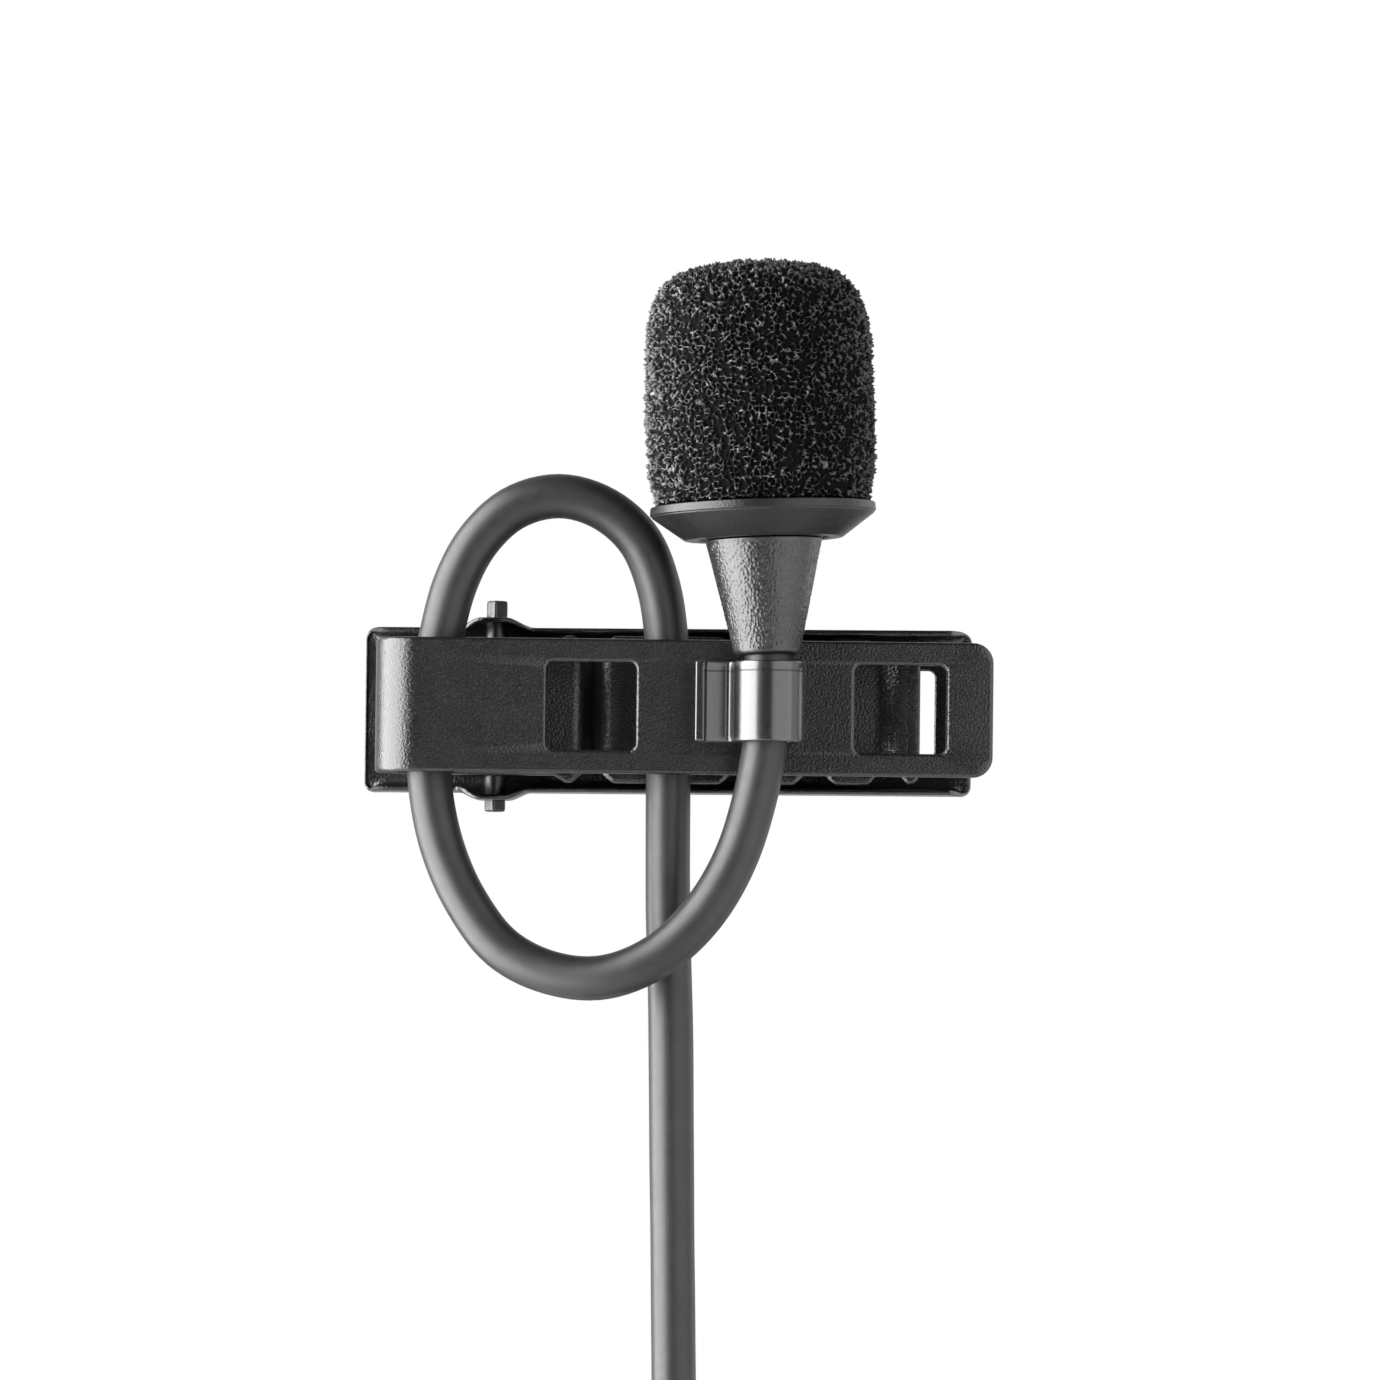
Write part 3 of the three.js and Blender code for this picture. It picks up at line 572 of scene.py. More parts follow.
def clip_rear():
    """The channel of the rear jaw: a wall follows its outline and rises into a bell at the pin."""
    left, right, half, corner = (REAR[k] for k in ("left", "right", "half", "corner"))
    floor, back = REAR["floor"], REAR["floor"] + REAR["sheet"]
    xs = np.concatenate([
        np.linspace(left + corner, -2.2, 12, endpoint=False), np.arange(-2.2, 2.2, FINE),
        np.linspace(2.2, right - 2, 24, endpoint=False), np.linspace(right - 2, right - corner, 12),
    ])
    low = np.stack([xs, np.full(len(xs), -half)], axis=1)
    ends = np.linspace(-half + corner, half - corner, 16)[1:-1]
    loop = np.vstack([
        low, arc(right - corner, corner - half, corner, -90, 0, 8)[1:],
        np.stack([np.full(len(ends), right), ends], axis=1),
        arc(right - corner, half - corner, corner, 0, 90, 8)[:-1],
        low[::-1] * [1, -1], arc(left + corner, half - corner, corner, 90, 180, 8)[1:],
        np.stack([np.full(len(ends), left), -ends], axis=1),
        arc(left + corner, corner - half, corner, 180, 270, 8)[:-1],
    ])
    normal = away(loop)
    x = loop[:, 0]
    from_end = ease(np.minimum(x - left, right - x) / REAR["end_run"])
    wall = mix(REAR["thin"], REAR["flange"], from_end)
    radius = mix(REAR["crease"], REAR["round"], from_end)
    rim = mix(floor - REAR["thin"], REAR["edge"], from_end)
    ear = np.sqrt(np.clip(REAR["ear"] ** 2 - x**2, 0, None))
    rim = np.where(np.abs(x) < REAR["ear"], np.minimum(rim, -ear), rim)
    rim = np.minimum(rim, floor - wall / 2)
    lowest = rim + wall / 2
    inner = np.minimum(radius, np.clip(floor - lowest, 0.02, 1))
    rows = []
    for a in np.radians(np.linspace(0, 90, 6)):
        rows.append((wall + inner * (1 - math.sin(a)), floor - inner * (1 - math.cos(a))))
    for u in np.linspace(0, 1, 9)[1:]:
        rows.append((wall, mix(floor - inner, lowest, u)))
    for a in np.radians(np.linspace(0, 180, 7))[1:-1]:
        rows.append((wall / 2 * (1 + math.cos(a)), rim + wall / 2 * (1 - math.sin(a))))
    for u in np.linspace(0, 1, 12):
        rows.append((0 * x, mix(lowest, back - radius, u)))
    for a in np.radians(np.linspace(0, 90, 7))[1:]:
        rows.append((radius * (1 - math.cos(a)), back - radius + radius * math.sin(a)))
    bell = ease((REAR["ear"] - np.abs(x)) / (REAR["ear"] - REAR["bell_flat"])) * (REAR["bell_top"] - half)
    along_side = np.abs(normal[:, 1]) > 0.99
    points = []
    for inset, depth in rows:
        flat = loop - normal * np.reshape(inset, (-1, 1))
        fade = ease((floor - depth) / REAR["bell_deep"])
        flat[:, 1] += np.sign(normal[:, 1]) * bell * fade * along_side
        points.append(at_depth(flat, depth))
    columns, count = len(loop), len(rows)
    faces = grid_faces(count, columns)
    window = window_loop(*REAR["window"])
    edge = REAR["window_edge"]
    levels = [(edge, floor), (0, floor + edge), (0, back - edge), (edge, back)]
    points = np.vstack(points + [at_depth(grown(window, grow), depth) for grow, depth in levels])
    start, end, size = count * columns, len(points), len(window)
    faces += [tuple(start + i for i in f) for f in grid_faces(len(levels), size)]
    faces += flat_fill(points, range(columns), range(start, start + size))
    faces += flat_fill(points, range(start - columns, start), range(end - size, end))
    piece = steady(mesh_piece("clip_rear", on_rear(points), faces))
    return belongs(piece, "rear_jaw", "clip_paint", "rear_jaw")


def at_depth(loop, y):
    """A flat (x, z) loop as (x, y, z) points."""
    return np.stack([loop[:, 0], np.broadcast_to(y, len(loop)), loop[:, 1]], axis=1)


def flat_fill(points, outer, inner):
    """Triangles between two flat loops of point numbers, in x and z."""
    work, rings = filled([points[list(loop)][:, [0, 2]] for loop in (outer, inner)])
    numbers = dict(zip(rings[0] + rings[1], [*outer, *inner]))
    faces = [tuple(numbers[v] for v in f.verts) for f in work.faces]
    work.free()
    return faces


def hinge_pin():
    """A round pin whose two ends are pressed square."""
    bottom, top, stake = PIN["bottom"], PIN["top"], PIN["stake"]
    z = np.concatenate([
        bottom + np.array([0, 0.015, 0.05, 0.1]), np.linspace(bottom + 0.16, bottom + stake + 0.1, 10),
        np.linspace(bottom + stake + 0.2, top - stake - 0.2, 12),
        np.linspace(top - stake - 0.1, top - 0.16, 10), top - np.array([0.1, 0.05, 0.015, 0]),
    ])
    profile = np.stack([np.full(len(z), PIN["r"]), z], axis=1)

    def shape(r, angle, z):
        a = angle - math.radians(PIN["turn"])
        power, worn = PIN["power"], PIN["worn"]
        square = PIN["square"] / (np.abs(np.cos(a)) ** power + np.abs(np.sin(a)) ** power) ** (1 / power)
        from_end = np.minimum(z - bottom, top - z)
        wide = mix(r, square, 1 - ease((from_end - stake) / PIN["fade"]))
        wide = wide - worn * (1 - np.sqrt(1 - np.clip(1 - from_end / worn, 0, 1) ** 2))
        return np.where(r > 0, wide, 0), angle, z

    profile = np.vstack([[(0, bottom)], profile, [(0, top)]])
    piece = steady(turned("hinge_pin_staked", profile, lambda p: p + [PIN["x"], PIN["y"], 0], 72, shape))
    return belongs(piece, "clip", "blackened_steel", "hinge_pin")


def spring_wire():
    """The torsion spring, whose two legs press the jaws apart behind the pin."""
    x, y, r, half = PIN["x"], PIN["y"], SPRING["r"], SPRING["half"]
    end, front, back = (SPRING[k] for k in ("leg_end", "leg_front", "leg_back"))
    steps = int(SPRING["turns"] * SPRING["steps"])
    turn = -np.pi / 2 + 2 * np.pi * np.arange(steps + 1) / SPRING["steps"]
    coil = [x + r * np.cos(turn), y + r * np.sin(turn), np.linspace(-half, half, steps + 1)]
    middle = (end + x) / 2
    front_leg = [(end, front, -half), (middle, (front + y - r) / 2, -half)]
    back_leg = [(middle, (back + y + r) / 2, half), (end, back, half)]
    line = even(np.vstack([front_leg, np.stack(coil, axis=1), back_leg]), FINE)
    piece = mesh_piece("spring_wire", *tube(line, SPRING["wire"], 14))
    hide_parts("torsion_spring")
    start, finish = (tuple(row((x, y, z))) for z in (-half, half))
    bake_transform(piece)
    return piece


def mic_loop():
    """The spring strip that grips the lead: its foot is riveted on, and its free end curls away."""
    x, r, sheet = HOLDER["x"], HOLDER["r"], HOLDER["sheet"]
    path = [(HOLDER["base"], -sheet / 2), (x - HOLDER["flat_end"], -sheet / 2)]
    path.extend(arc(x, HOLDER_Y, r, 90, -180, 72))
    path.extend(arc(x - r - HOLDER["throat"], HOLDER_Y, HOLDER["throat"], 0, HOLDER["throat_turn"], 30)[1:])
    path.extend(arc(*HOLDER["curl"], HOLDER["throat_turn"], 180, 20))
    path.append(HOLDER["tip"])
    place, _, along, stations = bent_along(path)
    top, bottom = HOLDER["top"], HOLDER["bottom"]
    line, width = top - HOLDER["groove"], HOLDER["groove_half"]

    def grooved(points):
        points = np.array(points)
        outside = points[:, 2] > 0
        close = np.abs(points[:, 1] - line) < 1.2 * width
        points[outside & close, 2] -= HOLDER["groove_deep"]
        return place(points)

    outline = rounded_box(0, along[-1], bottom, top, 0.12, 5)
    rows = [line + width * k for k in (-3, -1, 1, 3)]
    piece = pressed("mic_loop", outline, [], sheet, 0.08, grooved, stations, rows)
    return belongs(piece, "clip", "holder_black", "mic_holder")


def rivet():
    front, back, end = -HOLDER["sheet"], SHEET + 0.025, SHEET + RIVET["back"]
    shank, head = RIVET["shank"], RIVET["head"]
    profile = filleted([
        (0, front), (head - 0.02, front), (shank, front + RIVET["sink"]), (shank, back),
        (head, back), (RIVET["back_r"], end), (0, end),
    ], 0.06)
    place = lambda p: p[:, [0, 2, 1]] + [RIVET["x"], 0, RIVET["z"]]
    piece = steady(turned("rivet", profile, place, 48))
    return belongs(piece, "clip", "blackened_steel", "holder_rivet")


# ---- Microphone ----
def relief():
    """The tapered strain relief, with a leather-like grain that is really in its surface."""
    bottom, top, r0, r1, corner = (RELIEF[k] for k in ("bottom", "top", "r_bottom", "r_top", "round"))
    step = FINE / 2
    foot = arc(r0 - corner, bottom + corner, corner, -90, -10, 6)
    side = even([foot[-1], (r1, top)], step)
    neck, end = RELIEF["spigot_r"], RELIEF["spigot"]
    profile = np.vstack([
        [(0, bottom), (LEAD_R + 0.04, bottom)], even([(LEAD_R + 0.1, bottom), foot[0]], step),
        foot[1:-1], side, [(neck, top + 0.02), (neck, end), (0, end)],
    ])

    def shape(r, angle, z):
        points = spun(r, angle, z * 0.8)
        near, second = cells(points, RELIEF["pebble"], 3)
        fine_near, fine_second = cells(points, RELIEF["fine_pebble"], 8)
        pebble = ease((second - near) / 0.45) * 0.7 + ease((fine_second - fine_near) / 0.5) * 0.3
        skin = (r > LEAD_R + 0.2) & (z < top - 0.03) & (z > bottom + 0.01)
        deep = RELIEF["grain"] * ease((z - bottom) / 0.5) * ease((top - z) / 0.25)
        return r - np.where(skin, deep * (1 - pebble.reshape(r.shape)), 0), angle, z

    piece = turned("cable_relief", profile, on_mic, 330, shape)
    return belongs(piece, "clip", "relief_rubber", "strain_relief")


def capsule_tube():
    bore, r, bottom, top = (HOUSING[k] for k in ("bore", "r", "bottom", "top"))
    groove, sunk = HOUSING["groove"], HOUSING["r"] - HOUSING["groove_deep"]
    inside = (bore, (bottom + top) / 2)
    profile = filleted([
        inside, (bore, bottom), (r, bottom), (r, groove), (sunk, groove + 0.05),
        (sunk, groove + 0.2), (r, groove + 0.25), (r, top), (bore, top), inside,
    ], 0.05)
    piece = steady(turned("capsule_tube", profile, on_mic, 96))
    return belongs(piece, "clip", "housing_metal", "mic_housing")


def capsule_cap():
    low, top = HOUSING["top"] + 0.05, CAP["top"]
    turns = [2 * math.pi * k / CAP["holes"] for k in range(CAP["holes"])]
    spots = [(0, 0)] + [(CAP["ring"] * math.cos(a), CAP["ring"] * math.sin(a)) for a in turns]
    holes = [circle(x, y, CAP["hole"]) for x, y in spots]
    place = lambda p: on_mic(p + [0, 0, (low + top) / 2])
    piece = pressed("capsule_cap", circle(0, 0, HOUSING["r"], 90), holes, top - low, 0.06, place)
    return belongs(piece, "clip", "housing_metal", "grille_cap")


def screen_collar():
    """The collar that carries the foam: a thin rim, a cone under it, and a lip round its bore."""
    bore, bottom, foot, rim = (COLLAR[k] for k in ("bore", "bottom", "foot", "rim"))
    low, high, sleeve, top = (COLLAR[k] for k in ("rim_low", "rim_top", "sleeve", "sleeve_top"))
    inside = (bore, (bottom + top) / 2)
    profile = filleted([
        inside, (bore, bottom + 0.12), (bore + 0.16, bottom + 0.1), (bore + 0.2, bottom), (foot, bottom),
        (rim - 0.08, low - 0.03), (rim - 0.06, low + 0.03), (rim, low + 0.06), (rim - 0.03, high - 0.02),
        (rim - 0.3, high), (sleeve, high), (sleeve, top), (bore, top), inside,
    ], 0.045)
    piece = steady(turned("screen_collar", profile, on_mic, 160), 60)
    return belongs(piece, "windscreen", "collar_plastic", "windscreen_collar")


def foam_profile(step):
    """The outside of the foam from its foot to its top, a smooth curve through its design points."""
    points = [(r, 0, z) for r, z in FOAM["side"]]
    line = smooth_route(points, step)[:, [0, 2]]
    line[:, 0] = np.clip(line[:, 0], 0, None)
    line[-1] = FOAM["side"][-1]
    return line


def foam_cover():
    """Open-cell foam: a fine skin of ridges round pits, deep enough to show dark holes; foam_cells also
    paints the pits darker, as painted shade.
    """
    step, columns = ((0.04, 760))
    side = foam_profile(step)
    roof, sleeve, sleeve_top = CAP["top"] + 0.3, COLLAR["sleeve"] + 0.05, COLLAR["sleeve_top"] + 0.05
    foot = even([(COLLAR["sleeve"] + 0.1, FOAM["bottom"]), side[0]], step)[:-1]
    inside = [
        (0, roof), (COLLAR["bore"], roof), (COLLAR["bore"], sleeve_top),
        (sleeve, sleeve_top), (sleeve, FOAM["bottom"] + 0.1),
    ]
    profile = np.vstack([inside, foot, side])
    slope = np.gradient(profile, axis=0)
    slope /= np.linalg.norm(slope, axis=1)[:, None] + 1e-9

    def shape(r, angle, z):
        points = spun(r, angle, z)
        near, second = cells(points, FOAM["cell"], 21)
        broken = ease((waves(points, FOAM["gap"], 5) - 0.26) / 0.35)
        ridge = np.exp(-(((second - near) / FOAM["ridge"]) ** 2)) * (0.3 + 0.7 * broken)
        knobs = ease((waves(points, FOAM["knob"], 31) - 0.5) / 0.3) * ridge
        swell = FOAM["swell_rise"] * (0.5 - waves(points, FOAM["swell"], 9))
        depth = FOAM["pit"] * (1 - ridge) - FOAM["knob_rise"] * knobs + swell
        depth = depth.reshape(r.shape) * np.clip(r / 0.6, 0, 1)
        depth[: len(inside)] = 0
        # The ridge value is the strut attribute, which foam_cells uses to paint the pits darker: painted
        # shade.
        return r - slope[:, 1:] * depth, angle, z + slope[:, :1] * depth, np.clip(ridge, 0, 1)

    piece = turned("foam_cover", profile, on_mic, columns, shape)
    belongs(piece, "windscreen", "foam", "windscreen_foam")
    return piece


# ---- Strap and connector ----
def strap():
    """A hook-and-loop strap round the hank, with its end pressed down over its start."""
    middle = HANK["top"] - HANK_OUT - HANK["run"] / 2
    out, gap = HANK_OUT + TIE["gap"], TIE["gap"]
    loop = rounded_box(
        HANK["x"] - out, HANK["x"] + out, HANK["front"] - gap, HANK["back"] + gap, TIE["corner"], 14)
    loop = even(np.vstack([loop, loop[:1]]), 0.25)[:-1]
    outward = away(loop)
    s = np.linspace(0, 1, len(loop), endpoint=False)
    lap = ease((s - 0.02) / 0.02) * (1 - ease((s - 0.30) / 0.02))
    thick = TIE["thick"] + TIE["lap"] * lap
    ripple = TIE["ripple"] * np.sin(TIE["ripples"] * s * 2 * np.pi)
    half = TIE["tall"] / 2 - 0.05
    section = rounded_box(0, 1, -half, half, 0.16, 3)
    rings = []
    for spread, z in section:
        edge = loop + outward * (spread * (thick + ripple))[:, None]
        rings.append(np.column_stack([edge, np.full(len(loop), middle + z)]))
    piece = mesh_piece("strap", np.vstack(rings), grid_faces(len(rings), len(loop), True))
    return steady(belongs(piece, "clip", "tie_strap", "hank_tie"), 50)


def plug_shell():
    nose_r, r, nose, bore = (PLUG[k] for k in ("nose_r", "shell_r", "nose", "bore"))
    top, groove = PLUG["shell_top"], PLUG["groove"]
    inside = (bore, top / 2)
    profile = filleted([
        inside, (bore, 0.15), (bore + 0.12, 0), (nose_r, 0), (nose_r, nose), (r - 0.1, nose + 0.1),
        (r, nose + PLUG["step"]), (r, groove - 0.1), (r - 0.15, groove), (r - 0.15, groove + 0.4),
        (r, groove + 0.5), (r, top), (bore, top), inside,
    ], 0.09)
    piece = turned("plug_shell", profile, on_plug, 128)
    low, high = LATCH["low"] - LATCH["slot_end"], LATCH["high"] + LATCH["slot_end"]
    slot = rounded_box(-LATCH["slot"], LATCH["slot"], low, high, LATCH["slot_round"])
    count = len(slot)
    points = np.vstack([at_depth(slot, y) for y in (-7, -2)])
    faces = grid_faces(2, count) + [tuple(range(count)), tuple(range(2 * count - 1, count - 1, -1))]
    cutter = mesh_piece("slot_cutter", on_plug(points), faces)
    cut = piece.modifiers.new("slot", "BOOLEAN")
    cut.operation, cut.solver, cut.object = "DIFFERENCE", "EXACT", cutter
    shown = piece.evaluated_get(bpy.context.evaluated_depsgraph_get())
    mesh = bpy.data.meshes.new_from_object(shown)
    piece.modifiers.clear()
    piece.data = mesh
    bpy.data.objects.remove(cutter)
    return steady(belongs(piece, "clip", "nickel", "connector_shell"))


def plug_nut():
    bottom, top, r, bore = PLUG["shell_top"] + 0.05, NUT["top"], NUT["r"], NUT["bore"]
    ridges, inside = NUT["ridges"], (bore, (bottom + top) / 2)
    profile = np.vstack([
        [inside, (bore, bottom + 0.1), (bore + 0.1, bottom), (r - 0.35, bottom), (r - 0.1, bottom + 0.3)],
        even([(r, bottom + 0.5), (r, top - 0.5)], 0.07),
        [(r - 0.1, top - 0.3), (r - 0.35, top), (bore + 0.1, top), (bore, top - 0.1), inside],
    ])

    def knurled(r, angle, z):
        around, along = angle * ridges / 2, z * ridges / 2 / NUT["r"]
        a, b = np.abs(np.sin(around + along)), np.abs(np.sin(around - along))
        on_grip = (r > NUT["r"] - 0.01) & (z > bottom + 0.45) & (z < top - 0.45)
        return r - np.where(on_grip, NUT["knurl"] * (1 - np.minimum(a, b)), 0), angle, z

    piece = steady(turned("plug_nut", profile, on_plug, 8 * ridges, knurled), 70)
    return belongs(piece, "clip", "nickel", "connector_nut")


def plug_boot():
    foot, end = NUT["top"] + 0.1, PLUG["length"]
    bottom, neck, r, tip, ribs = (BOOT[k] for k in ("bottom", "neck", "r", "tip", "ribs"))
    side = []
    for z in np.arange(foot + 1, end - 1, 0.1):
        rib = (z - foot - 1) / (end - foot - 2) * ribs
        wide = mix(r, tip, np.clip(np.floor(rib), 0, ribs) / ribs)
        side.append((wide - BOOT["groove"] * math.sin(math.pi * (rib % 1)) ** 2, z))
    profile = filleted([
        (0, bottom), (neck, bottom), (neck, foot), (r, foot), *side,
        (tip, end - 0.9), (tip - 0.15, end), (LEAD_R + 0.05, end), (0, end),
    ], 0.12)
    piece = steady(turned("plug_boot", profile, on_plug, 96))
    return belongs(piece, "clip", "boot_rubber", "connector_boot")


def plug_insides():
    """The insert with its keyway and the four socket contacts."""
    r, low, high = INSERT["r"], INSERT["bottom"], INSERT["top"]
    key, key_deep = INSERT["key"], INSERT["key_deep"]
    turn = math.degrees(math.asin(key / r))
    outline = np.vstack([arc(0, 0, r, 90 + turn, 450 - turn, 88), [(key, key_deep), (-key, key_deep)]])
    spots = arc(0, 0, CONTACT["ring"], 45, 315, 3)
    holes = [circle(x, y, CONTACT["r"] + 0.05) for x, y in spots]
    place = lambda p: on_plug(p + [0, 0, (low + high) / 2])
    insert = pressed("plug_insert", outline, holes, high - low, 0.12, place)
    belongs(insert, "clip", "insert_plastic", "connector_insert")
    bore, r, bottom, top = (CONTACT[k] for k in ("bore", "r", "bottom", "top"))
    cup_r, cup, deep = CONTACT["cup_r"], top - CONTACT["cup"], bottom + CONTACT["deep"]
    profile = filleted([
        (0, deep), (bore, deep), (bore, bottom + 0.1), (bore + 0.08, bottom), (r, bottom),
        (r, cup), (cup_r, cup), (cup_r, top), (0, top),
    ], 0.04)
    pins = []
    for k, (x, y) in enumerate(spots):
        pin = steady(turned(f"plug_contact_{k + 1}", profile, lambda p: on_plug(p + [x, y, 0]), 36))
        pins.append(belongs(pin, "clip", "gold", f"contact_{k + 1}"))
    return insert, pins


def latch():
    """The latch button, with grip grooves across its face."""
    half, low, high, out, corner = (LATCH[k] for k in ("half", "low", "high", "out", "round"))
    inner, deep = LATCH["groove_in"], LATCH["groove_deep"]
    face = [(-LATCH["flange_in"], low), (corner - out, low)]
    face.extend(arc(corner - out, low + corner, corner, -90, -180, 8)[1:])
    for z in np.linspace(low + inner, high - inner, LATCH["grooves"]):
        face.extend([(-out, z - 0.28), (deep - out, z - 0.1), (deep - out, z + 0.1), (-out, z + 0.28)])
    face.extend(arc(corner - out, high - corner, corner, 180, 90, 8))
    face.append((-LATCH["flange_in"], high))
    place = lambda p: on_plug(np.roll(p, 1, axis=1))
    button = pressed("latch_key", np.array(face), [], 2 * half, 0.12, place)
    return belongs(button, "latch", "nickel", "latch_button")


def latch_leaf():
    """The bowed leaf spring under the button, standing on its two feet."""
    thick, feet, flat, top = LEAF["thick"], -LEAF["feet"], LEAF["flat"], LEAF["bow"] - LATCH["flange_in"]
    low, high, half = LATCH["low"], LATCH["high"], LEAF["wide"] / 2
    middle, shoulder = (low + high) / 2, top + thick / 4
    crown = [(shoulder, middle - flat), (top, middle), (shoulder, middle + flat)]
    bend, _, along, stations = bent_along(smooth_route([(feet, low), *crown, (feet, high)], FINE))
    place = lambda p: on_plug(np.roll(bend(p), 1, axis=1))
    outline = rounded_box(0, along[-1], -half, half, 0.2)
    piece = pressed("latch_leaf", outline, [], thick, 0.04, place, stations)
    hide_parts("latch_spring")
    still, pushed = (tuple(row(on_plug((0, y, middle)))) for y in (feet + thick / 2, top + thick / 2))
    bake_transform(piece)
    return piece


# ---- Lead ----
def hank_line(spacing=0.5):
    """The folded length: down through the middle, nine turns in three layers, out at the bottom."""
    fold, pitch, nested, layers = HANK["fold"], HANK["pitch"], HANK["nested"], HANK["layers"]
    x0 = HANK["x"]
    radius = [fold + pitch * i for i in range(nested)]
    depth = [LEAD_Y + pitch * i for i in range(layers + 1)]
    turns = []
    for layer in range(layers, 0, -1):
        order = range(nested) if (layers - layer) % 2 == 0 else range(nested - 1, -1, -1)
        turns += [(radius[i], depth[layer]) for i in order]
    line = []
    for z in np.arange(HANK["top"], HANK_LOW, -spacing):
        back = ease((HANK_HIGH + 3 - z) / 15)
        side = ease((HANK_HIGH - 9 - z) / 16)
        line.append((x0 + fold * side, mix(LEAD_Y, depth[-1], back), z))
    for k, (r, y) in enumerate(turns):
        after = turns[k + 1] if k + 1 < len(turns) else (r, y)
        if k:
            before = turns[k - 1][1]
            for z in np.arange(HANK_HIGH, HANK_LOW, -spacing):
                line.append((x0 + r, mix(before, y, ease((HANK_HIGH - z) / HANK["run"])), z))
        for a in np.arange(0, -math.pi, -spacing / r):
            line.append((x0 + r * math.cos(a), y, HANK_LOW + r * math.sin(a)))
        for z in np.arange(HANK_LOW, HANK_HIGH, spacing):
            wide = mix(r, after[0], ease((z - HANK_LOW) / HANK["run"]))
            line.append((x0 - wide, y, z))
        for a in np.arange(math.pi, 0, -spacing / after[0]):
            line.append((x0 + after[0] * math.cos(a), y, HANK_HIGH + after[0] * math.sin(a)))
    r, y = turns[-1]
    end = HANK_LOW - HANK_OUT - TAIL - INTO_RELIEF
    for z in np.arange(HANK_HIGH, end, -spacing):
        front = ease((HANK_HIGH - z) / 10)
        side = 1 - ease((HANK_HIGH - 7 - z) / 22)
        line.append((x0 + r * side, mix(y, LEAD_Y, front), z))
    return line


def lead():
    out = math.radians(MIC_LEAN)
    exit_point = np.array(ROUTE[0]) + [math.sin(out) * INTO_RELIEF, 0, math.cos(out) * INTO_RELIEF]
    seen = smooth_route([exit_point, *ROUTE, (HANK["x"], LEAD_Y, HANK["top"])], 0.3)
    line = even(np.vstack([seen, hank_line()[1:]]), 0.35)
    count = np.arange(len(line))
    swells = [(0.006, 0.071, 0), (0.005, 0.183, 1.0), (0.003, 0.41, 0)]
    uneven = sum(height * np.sin(count * rate + shift) for height, rate, shift in swells)
    piece = mesh_piece("lead", *tube(line, LEAD_R * (1 + uneven), 28))
    belongs(piece, "clip", "cable_jacket", "cable", "cable_hank", "cable_tail")
    row(ROUTE[0])
    row(line)
    return piece


# ---- Materials ----
def node(material, kind, settings=None, **inputs):
    """A shader node with its settings and its inputs, each a value or another node's output."""
    made = material.node_tree.nodes.new("ShaderNode" + kind)
    for key, value in (settings or {}).items():
        setattr(made, key, value)
    for key, value in inputs.items():
        socket = made.inputs[key.replace("_", " ")]
        if isinstance(value, bpy.types.NodeSocket):
            material.node_tree.links.new(value, socket)
        else:
            socket.default_value = value
    return made


def shader(material):
    return material.node_tree.nodes["Principled BSDF"]


def link(material, output, socket):
    material.node_tree.links.new(output, shader(material).inputs[socket])


def rgb(value):
    return (value, value, value, 1) if isinstance(value, (int, float)) else (*value, 1)


def place_on(material):
    return node(material, "TexCoord").outputs["Object"]


def noise(material, size, detail=3.0, rough=0.55):
    """Noise from 0 to 1 with features about size millimetres across, fixed to the piece."""
    inputs = {"Vector": place_on(material), "Scale": 1 / (size * MM), "Detail": detail, "Roughness": rough}
    return node(material, "TexNoise", **inputs).outputs["Fac"]


def between(material, amount, low, high, start=0.35, end=0.65):
    """low to high as amount goes from start to end."""
    inputs = {"From_Min": start, "From_Max": end, "To_Min": low, "To_Max": high}
    return node(material, "MapRange", Value=amount, **inputs).outputs["Result"]


def blended(material, amount, dark, light, start=0.35, end=0.65):
    ramp = node(material, "ValToRGB", Fac=amount)
    first, last = ramp.color_ramp.elements
    first.position, last.position = start, end
    first.color, last.color = rgb(dark), rgb(light)
    return ramp.outputs["Color"]


def raised(material, height, microns):
    return node(material, "Bump", Height=height, Strength=1.0, Distance=microns * 1e-6).outputs["Normal"]


def material(name, dark, light, patch, rough, grain, microns, metallic=0.0, **sockets):
    """Colour that drifts in patches, a drifting roughness, and a fine grain, all sized in millimetres."""
    made = bpy.data.materials.new(name)
    made.use_nodes = True
    shader(made).inputs["Metallic"].default_value = metallic
    for key, value in sockets.items():
        shader(made).inputs[key.replace("_", " ")].default_value = value
    drift = noise(made, patch)
    link(made, blended(made, drift, dark, light), "Base Color")
    link(made, between(made, noise(made, patch * 0.4), *rough), "Roughness")
    link(made, raised(made, noise(made, grain, 2.0), microns), "Normal")
    return made


def foam_cells():
    """Struts catch the light, and the pits between them get a darker base colour and a weaker specular: the
    darker colour is painted shade for the depth of the cells.
    """
    made = material("foam_cells", 0.002, 0.0035, 0.3, (0.3, 0.42), 0.04, 4)
    strut = node(made, "Attribute", {"attribute_name": "strut"}).outputs["Fac"]
    # Painted shade: the base colour is darker in the pits (low strut value) than on the struts.
    link(made, blended(made, strut, 0.0028, 0.006, 0.3, 1.0), "Base Color")
    link(made, between(made, strut, 0.9, 0.24, 0.4, 1.0), "Roughness")
    link(made, between(made, strut, 0.06, 0.8, 0.4, 1.0), "Specular IOR Level")
    return made


